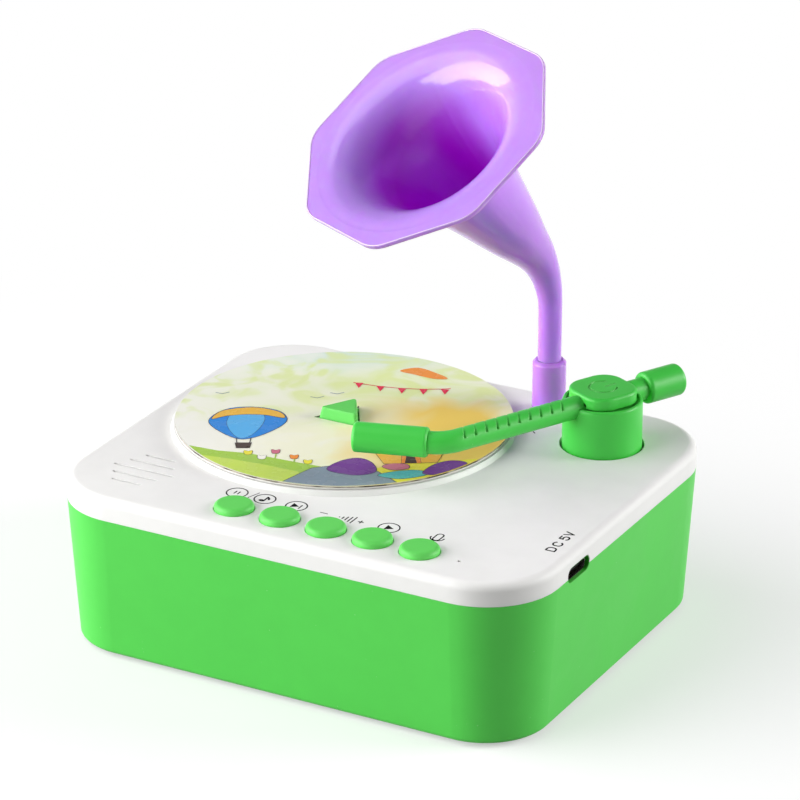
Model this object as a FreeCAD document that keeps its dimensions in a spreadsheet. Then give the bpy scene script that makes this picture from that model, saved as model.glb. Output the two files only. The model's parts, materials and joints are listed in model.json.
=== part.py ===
"""Audio story player: a child's disc player shaped like a gramophone, as separate pieces in one frame.

Millimetres, +Z up. The origin is the middle of the footprint on the surface that the feet stand on.
-Y is the front with the buttons, +X the side with the charging port.
"""

import FreeCAD, Part
import math
import os
import re

import Sketcher
from FreeCAD import Placement, Rotation, Vector

SIZES = {
    # casing
    "case_width": 123.5, "case_depth": 102.7, "corner_radius": 17.7, "base_height": 34.6,
    "cover_height": 5.5, "foot_stand": 0.8, "shell_wall": 2.0, "floor_thickness": 2.0,
    "cover_wall": 2.0, "draft_angle": 3.6, "bottom_round": 1.2, "cover_round": 2.0,
    "lip_inset": 0.7, "lip_gap": 0.1, "lip_height": 2.0, "joint_gap": 0.1,
    # feet and case screws
    "foot_radius": 5.0, "foot_sink": 1.0, "foot_gap": 0.1,
    "foot_inset_x": 17.75, "foot_inset_y": 17.35,
    "post_radius": 3.75, "post_drop": 2.6, "well_radius": 2.7, "well_depth": 28.2, "screw_radius": 1.3,
    "screw_gap": 0.05, "screw_reach": 8.6, "screw_head_radius": 2.4, "screw_head_height": 1.8,
    "left_post_inset": 8.25, "left_post_y": -8.0, "rear_left_inset_x": 11.75,
    "rear_left_inset_y": 11.35, "right_post_inset_x": 10.0, "right_post_inset_y": 9.85,
    # disc, spindle and its drive
    "disc_share": 0.38559, "disc_side_margin": 5.55, "disc_back_margin": 1.0,
    "disc_thickness": 0.7,
    "boss_height": 1.3, "boss_margin": 0.9, "boss_slope": 0.5, "disc_float": 0.2,
    "key_side": 11.3, "key_height": 2.65, "key_draft": 7.3, "key_round": 0.6, "key_edge": 0.3,
    "key_gap": 0.3,
    "flange_radius": 7.0, "flange_gap": 0.4, "recess_depth": 1.25, "flange_lift": 0.05,
    "shaft_radius": 2.0, "running_gap": 0.05, "bush_wall": 1.0, "tube_wall": 1.5,
    "bush_length": 6.6, "gear_module": 0.5, "gear_teeth": 60, "pinion_teeth": 12,
    "gear_width": 3.0, "gear_hub_radius": 4.0, "gear_hub_height": 1.4, "tooth_backlash": 0.12,
    "motor_direction": 100.0, "motor_radius": 10.0, "motor_height": 15.0,
    "motor_shaft_radius": 1.0, "motor_shaft_depth": 8.0, "motor_neck_radius": 2.6,
    "bracket_thickness": 1.0, "bracket_width": 38.0, "bracket_length": 22.0,
    "bracket_post_x": 15.5, "bracket_post_y": 4.0, "bracket_clearance": 1.4,
    "motor_screw_spacing": 7.6, "reader_radius": 15.0, "reader_thickness": 1.0,
    # keys
    "key_count": 5, "cap_radius": 4.55, "cap_gap": 0.15, "cap_first_share": 0.1247,
    "cap_pitch_share": 0.09555, "cap_inset": 9.75, "cap_proud": 1.5, "cap_round": 1.05,
    "cap_flange_radius": 5.3, "cap_flange_height": 1.4, "key_travel": 0.8, "switch_side": 6.0,
    "switch_height": 2.1, "plunger_radius": 1.5, "plunger_reach": 1.6, "board_thickness": 1.2, "board_drop": 4.6,
    "key_board_depth": 13.0, "key_board_shift": 0.9, "left_post_gap": 8.1, "right_post_gap": 7.2,
    "middle_post_shift": 5.4, "right_post_shift": 4.6, "board_post_radius": 2.0,
    "small_screw_radius": 0.9, "small_head_radius": 1.7, "small_head_height": 1.2,
    "small_screw_reach": 3.0,
    # speaker, slots and microphone
    "speaker_inset_x": 17.45, "speaker_inset_y": 17.85, "speaker_radius": 13.2, "speaker_rim": 1.0,
    "gasket_thickness": 0.8, "gasket_width": 2.2, "basket_depth": 4.2, "magnet_radius": 8.0,
    "magnet_height": 3.6, "cone_radius": 10.6, "cone_depth": 2.6, "ring_gap": 0.2,
    "ring_wall": 1.1, "ring_depth": 1.6, "speaker_post_distance": 15.5, "slot_width": 0.7,
    "slot_pitch": 3.7, "slot_long": 15.8, "slot_middle": 11.8, "slot_short": 7.8,
    "pinhole_gap": 9.9, "pinhole_shift": 0.2, "pinhole_radius": 0.4, "microphone_radius": 2.0,
    "microphone_height": 1.5, "boot_wall": 0.6,
    # main board, port and battery
    "board_length": 30.0, "board_width": 30.0, "board_gap": 1.7, "port_inset": 27.85,
    "port_width": 10.6, "port_height": 3.7, "port_drop": 5.0, "plug_width": 8.9,
    "plug_height": 3.2, "plug_depth": 7.4, "plug_wall": 0.3, "plug_set_back": 0.7,
    "tongue_width": 6.6, "tongue_height": 0.7, "tongue_set_back": 0.8, "chip_side": 7.0,
    "chip_height": 1.0, "battery_x": 18.0, "battery_y": -6.0, "battery_width": 50.0,
    "battery_depth": 34.0, "battery_height": 6.0, "battery_round": 2.5, "pad_thickness": 1.0,
    "rib_height": 3.0, "rib_wall": 1.2,
    # tonearm
    "pivot_inset_x": 20.9, "pivot_inset_y": 21.05, "column_radius": 9.3, "column_hole_gap": 0.55,
    "column_rise": 11.5, "column_round": 0.6, "arm_angle": 63.2, "arm_radius": 2.65,
    "arm_rise": 11.0, "arm_to_corner": 44.5, "arm_bend_radius": 8.0, "arm_bend": 45.7,
    "headshell_radius": 3.5, "headshell_length": 17.3, "headshell_start": 3.7,
    "weight_radius": 3.8, "weight_start": 11.6, "weight_end": 22.0, "weight_round": 0.9,
    "socket_gap": 0.08, "socket_wall": 1.7, "socket_bottom": 31.0, "socket_lip": 1.6,
    "neck_radius": 7.2, "bore_radius": 4.6, "deck_thickness": 4.0, "deck_drop": 0.8,
    "deck_radius": 8.5, "washer_radius": 9.0, "washer_height": 1.1,
    "cap_side": 14.0, "cap_corner": 5.0, "cap_height": 2.9, "power_cap_round": 0.75,
    "cap_plate": 1.25, "cap_skirt": 1.2, "power_travel": 0.5, "rod_radius": 1.6,
    "rod_bottom": 27.6, "flat_rise": 0.8, "clip_radius": 2.9, "clip_height": 0.8,
    "rib_count": 10, "rib_first": 12.0, "rib_pitch": 3.04, "rib_cut": 0.06, "rib_length": 0.5,
    "rib_skew": -28.0, "rib_sweep": 130.0,
    "symbol_radius": 3.25, "symbol_line": 0.42, "symbol_depth": 0.25, "symbol_open": 80.0,
    "power_board_width": 27.0, "power_board_depth": 15.0, "power_post_x": 9.6,
    "power_post_y": -9.6,
    # horn
    "stem_x": 21.4, "stem_inset": 9.85, "stem_radius": 2.8, "collar_radius": 4.0,
    "collar_height": 13.2, "collar_round": 0.7, "plug_radius": 3.0, "horn_plug_depth": 9.0,
    "stem_sink": 8.0, "horn_turn": 21.35, "horn_straight": 25.85, "horn_bend_radius": 25.0,
    "horn_lean": 42.7, "horn_reach": 38.6, "mouth_tilt": 53.5, "mouth_radius": 31.9,
    "horn_wall": 1.2, "horn_lip_radius": 19.7, "horn_lip_depth": 1.8, "bell_length": 63.0,
    "mouth_corner": 0.27, "mouth_twist": -3.5, "ring_section": 0.4, "ring_drop": 5.0,
    "horn_tube_wall": 1.9,
}

RELATIONS = {
    "left_post_x": "left_post_inset - case_width / 2",
    "rear_left_post_x": "rear_left_inset_x - case_width / 2",
    "rear_left_post_y": "case_depth / 2 - rear_left_inset_y",
    "right_post_x": "case_width / 2 - right_post_inset_x",
    "right_post_y": "case_depth / 2 - right_post_inset_y",
    "foot_x": "case_width / 2 - foot_inset_x",
    "foot_y": "case_depth / 2 - foot_inset_y",
    "disc_radius": "case_depth * disc_share",
    "disc_x": "disc_radius + disc_side_margin - case_width / 2",
    "disc_y": "case_depth / 2 - disc_radius - disc_back_margin",
    "cap_first_x": "-case_width * cap_first_share",
    "cap_pitch": "case_width * cap_pitch_share",
    "cap_y": "cap_inset - case_depth / 2",
    "pinhole_x": "cap_first_x + (key_count - 1) * cap_pitch + pinhole_gap",
    "pinhole_y": "cap_y - pinhole_shift",
    "speaker_x": "speaker_inset_x - case_width / 2",
    "speaker_y": "speaker_inset_y - case_depth / 2",
    "board_y": "cap_y + key_board_shift + (key_board_depth + board_width) / 2 + board_gap",
    "port_y": "port_inset - case_depth / 2",
    "pivot_x": "case_width / 2 - pivot_inset_x",
    "pivot_y": "case_depth / 2 - pivot_inset_y",
    "stem_y": "case_depth / 2 - stem_inset",
    "case_bottom": "foot_stand",
    "floor_top": "foot_stand + floor_thickness",
    "seam_level": "foot_stand + base_height",
    "cover_top": "seam_level + cover_height",
    "cover_under": "cover_top - cover_wall",
    "post_top": "seam_level - post_drop",
    "boss_top": "cover_top + boss_height",
    "boss_radius": "disc_radius + boss_margin",
    "disc_bottom": "boss_top + disc_float",
    "disc_top": "disc_bottom + disc_thickness",
    "recess_floor": "boss_top - recess_depth",
    "bush_radius": "shaft_radius + running_gap + bush_wall",
    "bush_bottom": "recess_floor - bush_length",
    "tube_radius": "bush_radius + tube_wall",
    "gear_top": "bush_bottom - joint_gap - gear_hub_height",
    "gear_bottom": "gear_top - gear_width",
    "gear_radius": "gear_teeth * gear_module / 2",
    "pinion_radius": "pinion_teeth * gear_module / 2",
    "centre_distance": "gear_radius + pinion_radius",
    "motor_x": "disc_x + centre_distance * cos(motor_direction * 1deg)",
    "motor_y": "disc_y + centre_distance * sin(motor_direction * 1deg)",
    "bracket_top": "gear_bottom - bracket_clearance",
    "bracket_bottom": "bracket_top - bracket_thickness",
    "board_top": "cover_under - board_drop",
    "board_bottom": "board_top - board_thickness",
    "cap_bottom": "cover_under - joint_gap - cap_flange_height",
    "switch_top": "board_top + switch_height",
    "port_level": "cover_top - port_drop",
    "plug_front": "case_width / 2 - plug_set_back",
    "column_top": "cover_top + column_rise",
    "arm_level": "cover_top + arm_rise",
    "head_heading": "arm_angle + 180 - arm_bend",
    "corner_x": "pivot_x - arm_to_corner * cos(arm_angle * 1deg)",
    "corner_y": "pivot_y - arm_to_corner * sin(arm_angle * 1deg)",
    "head_x": "corner_x + headshell_start * cos(head_heading * 1deg)",
    "head_y": "corner_y + headshell_start * sin(head_heading * 1deg)",
    "weight_x": "pivot_x + weight_start * cos(arm_angle * 1deg)",
    "weight_y": "pivot_y + weight_start * sin(arm_angle * 1deg)",
    "deck_top": "column_top - deck_drop",
    "deck_bottom": "deck_top - deck_thickness",
    "flat_top": "arm_level + flat_rise",
    "socket_radius": "column_radius + socket_gap",
    "column_foot": "socket_bottom + socket_lip + joint_gap",
    "neck_bottom": "socket_bottom - joint_gap",
    "power_cap_bottom": "column_top - 0.15",
    "power_cap_top": "power_cap_bottom + cap_height",
    "power_board_top": "rod_bottom - 3.2",
    "collar_top": "cover_top + collar_height",
    "plug_bottom": "cover_top - horn_plug_depth",
    "horn_tube_radius": "plug_radius + socket_gap",
}

doc = FreeCAD.newDocument("story_player")
sizes = doc.addObject("Spreadsheet::Sheet", "sizes")
pieces = []


def fill_sheet():
    """Write the driving sizes as plain numbers and the relations as formulas, one named cell each."""
    rows = [(name, str(number)) for name, number in SIZES.items()]
    rows += [(name, "=" + formula) for name, formula in RELATIONS.items()]
    for line, (name, content) in enumerate(rows, 1):
        sizes.set(f"A{line}", name)
        sizes.set(f"B{line}", content)
        sizes.setAlias(f"B{line}", name)
    doc.recompute()


def linked(formula):
    """A formula over cell names, written the way an expression of the document needs it."""
    return re.sub(r"\b([a-z]+(?:_[a-z]+)+)\b", r"sizes.\1", str(formula))


def number(formula):
    """The present value of a formula over cell names."""
    return float(sizes.evalExpression(linked(formula)))


def bind(item, **formulas):
    for name, formula in formulas.items():
        item.setExpression(name, linked(formula))
    return item


def put(item, x="0", y="0", z="0", turn=None):
    """Give an object its place, and its turn about Z in degrees, from formulas."""
    if turn is not None:
        item.Placement = Placement(Vector(), Rotation(Vector(0, 0, 1), number(turn)))
        item.setExpression("Placement.Rotation.Angle", linked(turn))
    for axis, formula in zip("xyz", (x, y, z)):
        item.setExpression(f"Placement.Base.{axis}", linked(formula))
    return item


def keep(item, label):
    """Mark an object as a finished sub-part, whose Label names its file."""
    item.Label = label
    pieces.append(item)
    return item


# ---- sketches ------------------------------------------------------------------------------------

def sketch_on(body, plane="XY_Plane", level="0", across="0", up="0"):
    """A sketch on one of the body's origin planes, moved to a level along the plane's normal."""
    flat = next(f for f in body.Origin.OriginFeatures if f.Role == plane)
    sketch = body.newObject("Sketcher::SketchObject", "sketch")
    sketch.AttachmentSupport = (flat, [""])
    sketch.MapMode = "FlatFace"
    for axis, formula in zip("xyz", (across, up, level)):
        sketch.setExpression(f"AttachmentOffset.Base.{axis}", linked(formula))
    return sketch


def measure(sketch, kind, formula, *where):
    """A dimension of the sketch that follows a formula."""
    place = sketch.addConstraint(Sketcher.Constraint(kind, *where, number(formula)))
    sketch.setExpression(f"Constraints[{place}]", linked(formula))


def fix_point(sketch, line, end, x, y):
    """Hold one end of a line at a place given by two formulas."""
    for kind, formula, axis in (("DistanceX", x, -2), ("DistanceY", y, -1)):
        if formula == "0":
            sketch.addConstraint(Sketcher.Constraint("PointOnObject", line, end, axis))
        else:
            measure(sketch, kind, formula, -1, 1, line, end)


def outline(sketch, corners):
    """A closed outline of straight lines between corners given as pairs of formulas."""
    spots = [Vector(number(x), number(y), 0) for x, y in corners]
    count = len(spots)
    lines = [
        sketch.addGeometry(Part.LineSegment(spots[i], spots[(i + 1) % count]), False)
        for i in range(count)
    ]
    for i, (x, y) in enumerate(corners):
        after = lines[(i + 1) % count]
        sketch.addConstraint(Sketcher.Constraint("Coincident", lines[i], 2, after, 1))
        fix_point(sketch, lines[i], 1, x, y)


def circle(sketch, x, y, radius):
    ring = Part.Circle(Vector(number(x), number(y), 0), Vector(0, 0, 1), number(radius))
    place = sketch.addGeometry(ring, False)
    fix_point(sketch, place, 3, x, y)
    measure(sketch, "Radius", radius, place)


def rounded_rectangle(sketch, width, depth, radius, x="0", y="0"):
    """Four lines and four tangent corner arcs, centred on (x, y)."""
    half_w, half_d, bend = number(width) / 2, number(depth) / 2, number(radius)
    at_x, at_y = number(x), number(y)
    arcs, lines = [], []
    for step, (sx, sy) in enumerate(((1, 1), (-1, 1), (-1, -1), (1, -1))):
        middle = Vector(at_x + sx * (half_w - bend), at_y + sy * (half_d - bend), 0)
        ring = Part.Circle(middle, Vector(0, 0, 1), bend)
        start = math.pi / 2 * step
        arcs.append(sketch.addGeometry(Part.ArcOfCircle(ring, start, start + math.pi / 2), False))
    inner_w, inner_d = half_w - bend, half_d - bend
    ends = (
        ((inner_w, half_d), (-inner_w, half_d)), ((-half_w, inner_d), (-half_w, -inner_d)),
        ((-inner_w, -half_d), (inner_w, -half_d)), ((half_w, -inner_d), (half_w, inner_d)),
    )
    for (x1, y1), (x2, y2) in ends:
        first, last = Vector(at_x + x1, at_y + y1, 0), Vector(at_x + x2, at_y + y2, 0)
        lines.append(sketch.addGeometry(Part.LineSegment(first, last), False))
    for k in range(4):
        sketch.addConstraint(Sketcher.Constraint("Tangent", arcs[k], 2, lines[k], 1))
        sketch.addConstraint(Sketcher.Constraint("Tangent", lines[k], 2, arcs[(k + 1) % 4], 1))
        sketch.addConstraint(Sketcher.Constraint(("Horizontal", "Vertical")[k % 2], lines[k]))
    measure(sketch, "DistanceY", f"{y} + ({depth}) / 2", -1, 1, lines[0], 1)
    measure(sketch, "DistanceX", f"{x} - ({width}) / 2", -1, 1, lines[1], 1)
    measure(sketch, "DistanceY", f"{y} - ({depth}) / 2", -1, 1, lines[2], 1)
    measure(sketch, "DistanceX", f"{x} + ({width}) / 2", -1, 1, lines[3], 1)
    measure(sketch, "Radius", radius, arcs[0])
    for k in (1, 2, 3):
        sketch.addConstraint(Sketcher.Constraint("Equal", arcs[0], arcs[k]))


# ---- features ------------------------------------------------------------------------------------

def new_body(name):
    return doc.addObject("PartDesign::Body", name)


def raise_from(body, sketch, height, down=False, draft=None):
    """Pad a sketch up, or down, with an optional draft that narrows it as it goes."""
    feature = body.newObject("PartDesign::Pad", "pad")
    feature.Profile = sketch
    feature.Reversed = down
    bind(feature, Length=height)
    if draft:
        bind(feature, TaperAngle=f"-({draft})")
    return feature


def cut_from(body, sketch, depth, up=False, draft=None):
    """Pocket a sketch down along the sketch's normal, or up, and check that it removed something."""
    doc.recompute()
    before = body.Tip.Shape.Volume
    feature = body.newObject("PartDesign::Pocket", "pocket")
    feature.Profile = sketch
    feature.Reversed = up
    bind(feature, Length=depth)
    if draft:
        bind(feature, TaperAngle=f"-({draft})")
    doc.recompute()
    if not feature.Shape.Volume < before:
        raise ValueError(f"a cut of {body.Name} removed nothing")
    return feature


def spin(body, sketch):
    """Turn a profile about the sketch's own vertical axis."""
    feature = body.newObject("PartDesign::Revolution", "turned")
    feature.Profile = sketch
    feature.ReferenceAxis = (sketch, ["V_Axis"])
    feature.Angle = 360
    return feature


def groove(body, sketch, sweep):
    """Cut a profile turned about the sketch's horizontal axis, to both sides by half the sweep."""
    feature = body.newObject("PartDesign::Groove", "groove")
    feature.Profile = sketch
    feature.ReferenceAxis = (sketch, ["H_Axis"])
    feature.Midplane = True
    bind(feature, Angle=sweep)
    return feature


def soften(body, radius, chosen):
    """Fillet the edges of the body's last feature that a test picks."""
    doc.recompute()
    last = body.Tip
    names = [f"Edge{i}" for i, edge in enumerate(last.Shape.Edges, 1) if chosen(edge)]
    feature = body.newObject("PartDesign::Fillet", "fillet")
    feature.Base = (last, names)
    bind(feature, Radius=radius)
    return feature


def level_edges(level):
    """A test for edges that lie in one level plane."""
    height = number(level)
    return lambda edge: all(abs(v.Z - height) < 1e-3 for v in edge.Vertexes) and (
        abs(edge.CenterOfMass.z - height) < 1e-3
    )


def revolved(name, profile, x="0", y="0"):
    """A solid turned about a vertical axis at (x, y), from a profile of (radius, level) corners."""
    body = new_body(name)
    sketch = sketch_on(body, "XZ_Plane")
    outline(sketch, profile)
    spin(body, sketch)
    return put(body, x, y)


def turned(label, profile, x="0", y="0"):
    return keep(revolved(label, profile, x, y), label)


def plate(label, width, depth, radius, bottom, thickness, x="0", y="0"):
    """A flat rounded plate or block."""
    body = new_body(label)
    sketch = sketch_on(body, level=bottom)
    rounded_rectangle(sketch, width, depth, radius)
    raise_from(body, sketch, thickness)
    return keep(put(body, x, y), label)


def posts(body, places, radius, bottom, top):
    """Round posts between two levels."""
    sketch = sketch_on(body, level=bottom)
    for x, y in places:
        circle(sketch, x, y, radius)
    raise_from(body, sketch, f"({top}) - ({bottom})")


def holes(body, places, radius, bottom, top):
    """Round holes between two levels, cut upwards."""
    sketch = sketch_on(body, level=bottom)
    for x, y in places:
        circle(sketch, x, y, radius)
    cut_from(body, sketch, f"({top}) - ({bottom})", up=True)


def screws(label, places, tip, seat, radius, head_radius, head_height, head_up=False):
    """A set of equal screws as one node: heads seated at one level, shanks reaching to another."""
    body_parts = []
    head_z = seat if head_up else f"({seat}) - ({head_height})"
    shank_z = tip if head_up else seat
    for x, y in places:
        head = doc.addObject("Part::Cylinder", "screw_head")
        put(bind(head, Radius=head_radius, Height=head_height), x, y, head_z)
        shank = doc.addObject("Part::Cylinder", "screw_shank")
        length = f"({seat}) - ({tip})" if head_up else f"({tip}) - ({seat})"
        put(bind(shank, Radius=radius, Height=length), x, y, shank_z)
        cross = doc.addObject("Part::Box", "cross_slot")
        bind(cross, Length=f"1.4 * ({head_radius})", Width="0.4", Height="0.4")
        slot_z = f"({seat}) + ({head_height}) - 0.4" if head_up else head_z
        put(cross, f"({x}) - 0.7 * ({head_radius})", f"({y}) - 0.2", slot_z)
        joined = doc.addObject("Part::Fuse", "screw_blank")
        joined.Base, joined.Tool = head, shank
        slotted = doc.addObject("Part::Cut", "screw")
        slotted.Base, slotted.Tool = joined, cross
        body_parts.append(slotted)
    group = doc.addObject("Part::Compound", label)
    group.Links = body_parts
    return keep(group, label)


# ---- places that several pieces share --------------------------------------------------------------

CASE_POSTS = [
    ("left_post_x", "left_post_y"), ("rear_left_post_x", "rear_left_post_y"),
    ("right_post_x", "right_post_y"), ("right_post_x", "-right_post_y"),
]
FEET = [(x, y) for x in ("-foot_x", "foot_x") for y in ("-foot_y", "foot_y")]
CAPS = [(f"cap_first_x + {i} * cap_pitch", "cap_y") for i in range(SIZES["key_count"])]
CAP_NAMES = [f"key_{i + 1}" for i in range(SIZES["key_count"])]
LAST_CAP_X = CAPS[-1][0]
KEY_POSTS = [
    ("cap_first_x - left_post_gap", "cap_y"),
    ("cap_first_x + 1.5 * cap_pitch", "cap_y + middle_post_shift"),
    (f"{LAST_CAP_X} + right_post_gap", "cap_y + right_post_shift"),
]
KEY_BOARD_X = f"({KEY_POSTS[0][0]} + {KEY_POSTS[2][0]}) / 2"
KEY_BOARD_Y = "cap_y + key_board_shift"
KEY_BOARD_WIDTH = f"{KEY_POSTS[2][0]} - ({KEY_POSTS[0][0]}) + 4"
MAIN_BOARD_X = "plug_front - 1.6 - board_length / 2"
MAIN_POSTS = [
    (f"{MAIN_BOARD_X} - board_length / 2 + 2.6", "board_y - board_width / 2 + 2.6"),
    (f"{MAIN_BOARD_X} - board_length / 2 + 2.6", "board_y + board_width / 2 - 2.6"),
    (f"{MAIN_BOARD_X} + board_length / 2 - 2.6", "board_y + board_width / 2 - 2.6"),
]
SPEAKER_POSTS = [
    ("speaker_x + speaker_post_distance", "speaker_y"),
    ("speaker_x", "speaker_y + speaker_post_distance"),
]
BRACKET_POSTS = [
    ("motor_x - bracket_post_x", "motor_y + bracket_post_y"),
    ("motor_x + bracket_post_x", "motor_y + bracket_post_y"),
]
POWER_POSTS = [
    ("pivot_x - power_post_x", "pivot_y + power_post_y"),
    ("pivot_x + power_post_x", "pivot_y + power_post_y"),
]


# ---- casing --------------------------------------------------------------------------------------

def port_opening(body):
    """The charging port's opening through the right wall, half in each shell."""
    sketch = sketch_on(body, "YZ_Plane", level="case_width / 2 + 1")
    rounded_rectangle(sketch, "port_width", "port_height", "port_height / 2 - 0.02",
                      "port_y", "port_level")
    cut_from(body, sketch, "shell_wall + 2.5")


def base_shell():
    """The green tub: drafted walls with a lip, a floor, screw wells, foot recesses, battery ribs."""
    body = new_body("base_shell")
    outer = sketch_on(body, level="seam_level")
    rounded_rectangle(outer, "case_width", "case_depth", "corner_radius")
    raise_from(body, outer, "base_height", down=True, draft="draft_angle")
    soften(body, "bottom_round", level_edges("case_bottom"))
    inner = sketch_on(body, level="seam_level")
    rounded_rectangle(inner, "case_width - 2 * shell_wall", "case_depth - 2 * shell_wall",
                      "corner_radius - shell_wall")
    cut_from(body, inner, "base_height - floor_thickness", draft="draft_angle")
    lip = sketch_on(body, level="seam_level - 1")
    inset = "2 * (lip_inset + lip_gap)"
    rounded_rectangle(lip, f"case_width - {inset}", f"case_depth - {inset}",
                      "corner_radius - lip_inset - lip_gap")
    rounded_rectangle(lip, "case_width - 2 * shell_wall", "case_depth - 2 * shell_wall",
                      "corner_radius - shell_wall")
    raise_from(body, lip, "lip_height + 1")
    posts(body, CASE_POSTS, "post_radius", "floor_top - 0.5", "post_top")
    ribs = sketch_on(body, level="floor_top - 0.5")
    room, wall = "battery_width + 0.8", "rib_wall"
    for side in (-1, 1):
        rounded_rectangle(ribs, wall, "battery_depth * 0.6", "0.4",
                          f"battery_x + {side} * (({room}) / 2 + rib_wall / 2)", "battery_y")
        rounded_rectangle(ribs, "battery_width * 0.6", wall, "0.4",
                          "battery_x", f"battery_y + {side} * (battery_depth / 2 + 0.4 + rib_wall / 2)")
    raise_from(body, ribs, "rib_height + 0.5")
    holes(body, CASE_POSTS, "well_radius", "case_bottom", "case_bottom + well_depth")
    holes(body, CASE_POSTS, "screw_radius + 0.2", "case_bottom", "post_top + 1")
    holes(body, FEET, "foot_radius + foot_gap", "case_bottom", "case_bottom + foot_sink")
    port_opening(body)
    return keep(body, "base_shell")


def boss_and_recess(body):
    """The raised round seat of the disc, with the hub's recess and the bush's tube in its middle."""
    seat = sketch_on(body, "XZ_Plane", level="-disc_y", across="disc_x")
    outline(seat, [
        ("0", "cover_under"), ("boss_radius", "cover_under"), ("boss_radius", "cover_top"),
        ("boss_radius - boss_slope", "boss_top"), ("0", "boss_top"),
    ])
    spin(body, seat)
    posts(body, [("disc_x", "disc_y")], "tube_radius", "bush_bottom", "cover_under + 0.5")
    holes(body, [("disc_x", "disc_y")], "bush_radius + 0.02", "bush_bottom - 1", "boss_top + 1")
    holes(body, [("disc_x", "disc_y")], "flange_radius + flange_gap", "recess_floor", "boss_top + 1")


def speaker_slots(body):
    """Five slots in a diamond over the speaker."""
    sketch = sketch_on(body, level="cover_under - 1")
    lengths = ("slot_short", "slot_middle", "slot_long", "slot_middle", "slot_short")
    for row, length in enumerate(lengths):
        rounded_rectangle(sketch, length, "slot_width", "slot_width / 2 - 0.02",
                          "speaker_x", f"speaker_y + {row - 2} * slot_pitch")
    cut_from(body, sketch, "cover_wall + 2", up=True)


def cover_posts(body):
    """The posts under the cover that carry the screws, boards, speaker and motor bracket."""
    top = "cover_under + 0.5"
    posts(body, CASE_POSTS, "post_radius", "post_top + joint_gap", top)
    posts(body, KEY_POSTS + MAIN_POSTS, "board_post_radius", "board_top", top)
    posts(body, BRACKET_POSTS, "board_post_radius + 1", "bracket_top", top)
    posts(body, POWER_POSTS, "board_post_radius + 0.5", "power_board_top", top)
    posts(body, SPEAKER_POSTS, "small_screw_radius + 0.9",
          "cover_under - gasket_thickness - speaker_rim", top)
    bore = "small_screw_radius + screw_gap"
    holes(body, CASE_POSTS, "screw_radius + screw_gap", "post_top", "post_top + 5.2")
    holes(body, KEY_POSTS + MAIN_POSTS, bore, "board_bottom", "board_top + 3.2")
    holes(body, BRACKET_POSTS, bore, "bracket_bottom", "bracket_top + 3.2")
    holes(body, POWER_POSTS, bore, "power_board_top - 1", "power_board_top + 3.2")
    holes(body, SPEAKER_POSTS, bore, "cover_under - gasket_thickness - speaker_rim - 1",
          "cover_under - 0.2")


def ring_wall_down(body, x, y, inner, outer, bottom):
    """A round wall that hangs from the underside of the cover."""
    sketch = sketch_on(body, level=bottom)
    circle(sketch, x, y, outer)
    circle(sketch, x, y, inner)
    raise_from(body, sketch, f"cover_under + 0.5 - ({bottom})")


def top_cover():
    """The white cover, rebated over the tub's lip, with its disc seat, sockets and openings."""
    body = new_body("top_cover")
    outer = sketch_on(body, level="seam_level")
    rounded_rectangle(outer, "case_width", "case_depth", "corner_radius")
    raise_from(body, outer, "cover_height")
    soften(body, "cover_round", level_edges("cover_top"))
    inner = sketch_on(body, level="seam_level")
    rounded_rectangle(inner, "case_width - 2 * shell_wall", "case_depth - 2 * shell_wall",
                      "corner_radius - shell_wall")
    cut_from(body, inner, "cover_height - cover_wall", up=True)
    rebate = sketch_on(body, level="seam_level")
    rounded_rectangle(rebate, "case_width - 2 * lip_inset", "case_depth - 2 * lip_inset",
                      "corner_radius - lip_inset")
    cut_from(body, rebate, "lip_height + joint_gap", up=True)
    boss_and_recess(body)
    cover_posts(body)
    speaker_inner = "speaker_radius + ring_gap"
    ring_wall_down(body, "speaker_x", "speaker_y", speaker_inner, f"{speaker_inner} + ring_wall",
                   "cover_under - ring_depth")
    ring_wall_down(body, "pivot_x", "pivot_y", "socket_radius", "socket_radius + socket_wall",
                   "socket_bottom")
    ring_wall_down(body, "stem_x", "stem_y", "horn_tube_radius", "horn_tube_radius + horn_tube_wall",
                   "plug_bottom - joint_gap")
    ring_wall_down(body, "pinhole_x", "pinhole_y", "microphone_radius + boot_wall + 0.05",
                   "microphone_radius + boot_wall + 0.8", "cover_under - microphone_height")
    floor = sketch_on(body, level="socket_bottom")
    circle(floor, "pivot_x", "pivot_y", "socket_radius + 0.5")
    circle(floor, "pivot_x", "pivot_y", "neck_radius + socket_gap")
    raise_from(body, floor, "socket_lip")
    top = "cover_top + 1"
    holes(body, [("pivot_x", "pivot_y")], "column_radius + column_hole_gap", "cover_under", top)
    holes(body, [("stem_x", "stem_y")], "horn_tube_radius", "cover_under - 1", top)
    holes(body, [("pinhole_x", "pinhole_y")], "pinhole_radius", "cover_under - 1", top)
    holes(body, CAPS, "cap_radius + cap_gap", "cover_under - 1", top)
    speaker_slots(body)
    port_opening(body)
    return keep(body, "top_cover")


def feet():
    """Four rubber pads pressed into the recesses of the tub."""
    profile = [
        ("0", "0"), ("foot_radius - 0.4", "0"), ("foot_radius", "0.4"),
        ("foot_radius", "foot_stand + foot_sink"), ("0", "foot_stand + foot_sink"),
    ]
    group = doc.addObject("Part::Compound", "feet")
    group.Links = [revolved("foot", profile, x, y) for x, y in FEET]
    keep(group, "feet")


def case_screws():
    seat = "case_bottom + well_depth"
    screws("case_screws", CASE_POSTS, f"{seat} + screw_reach", seat,
           "screw_radius", "screw_head_radius", "screw_head_height")


# ---- disc drive ----------------------------------------------------------------------------------

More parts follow.
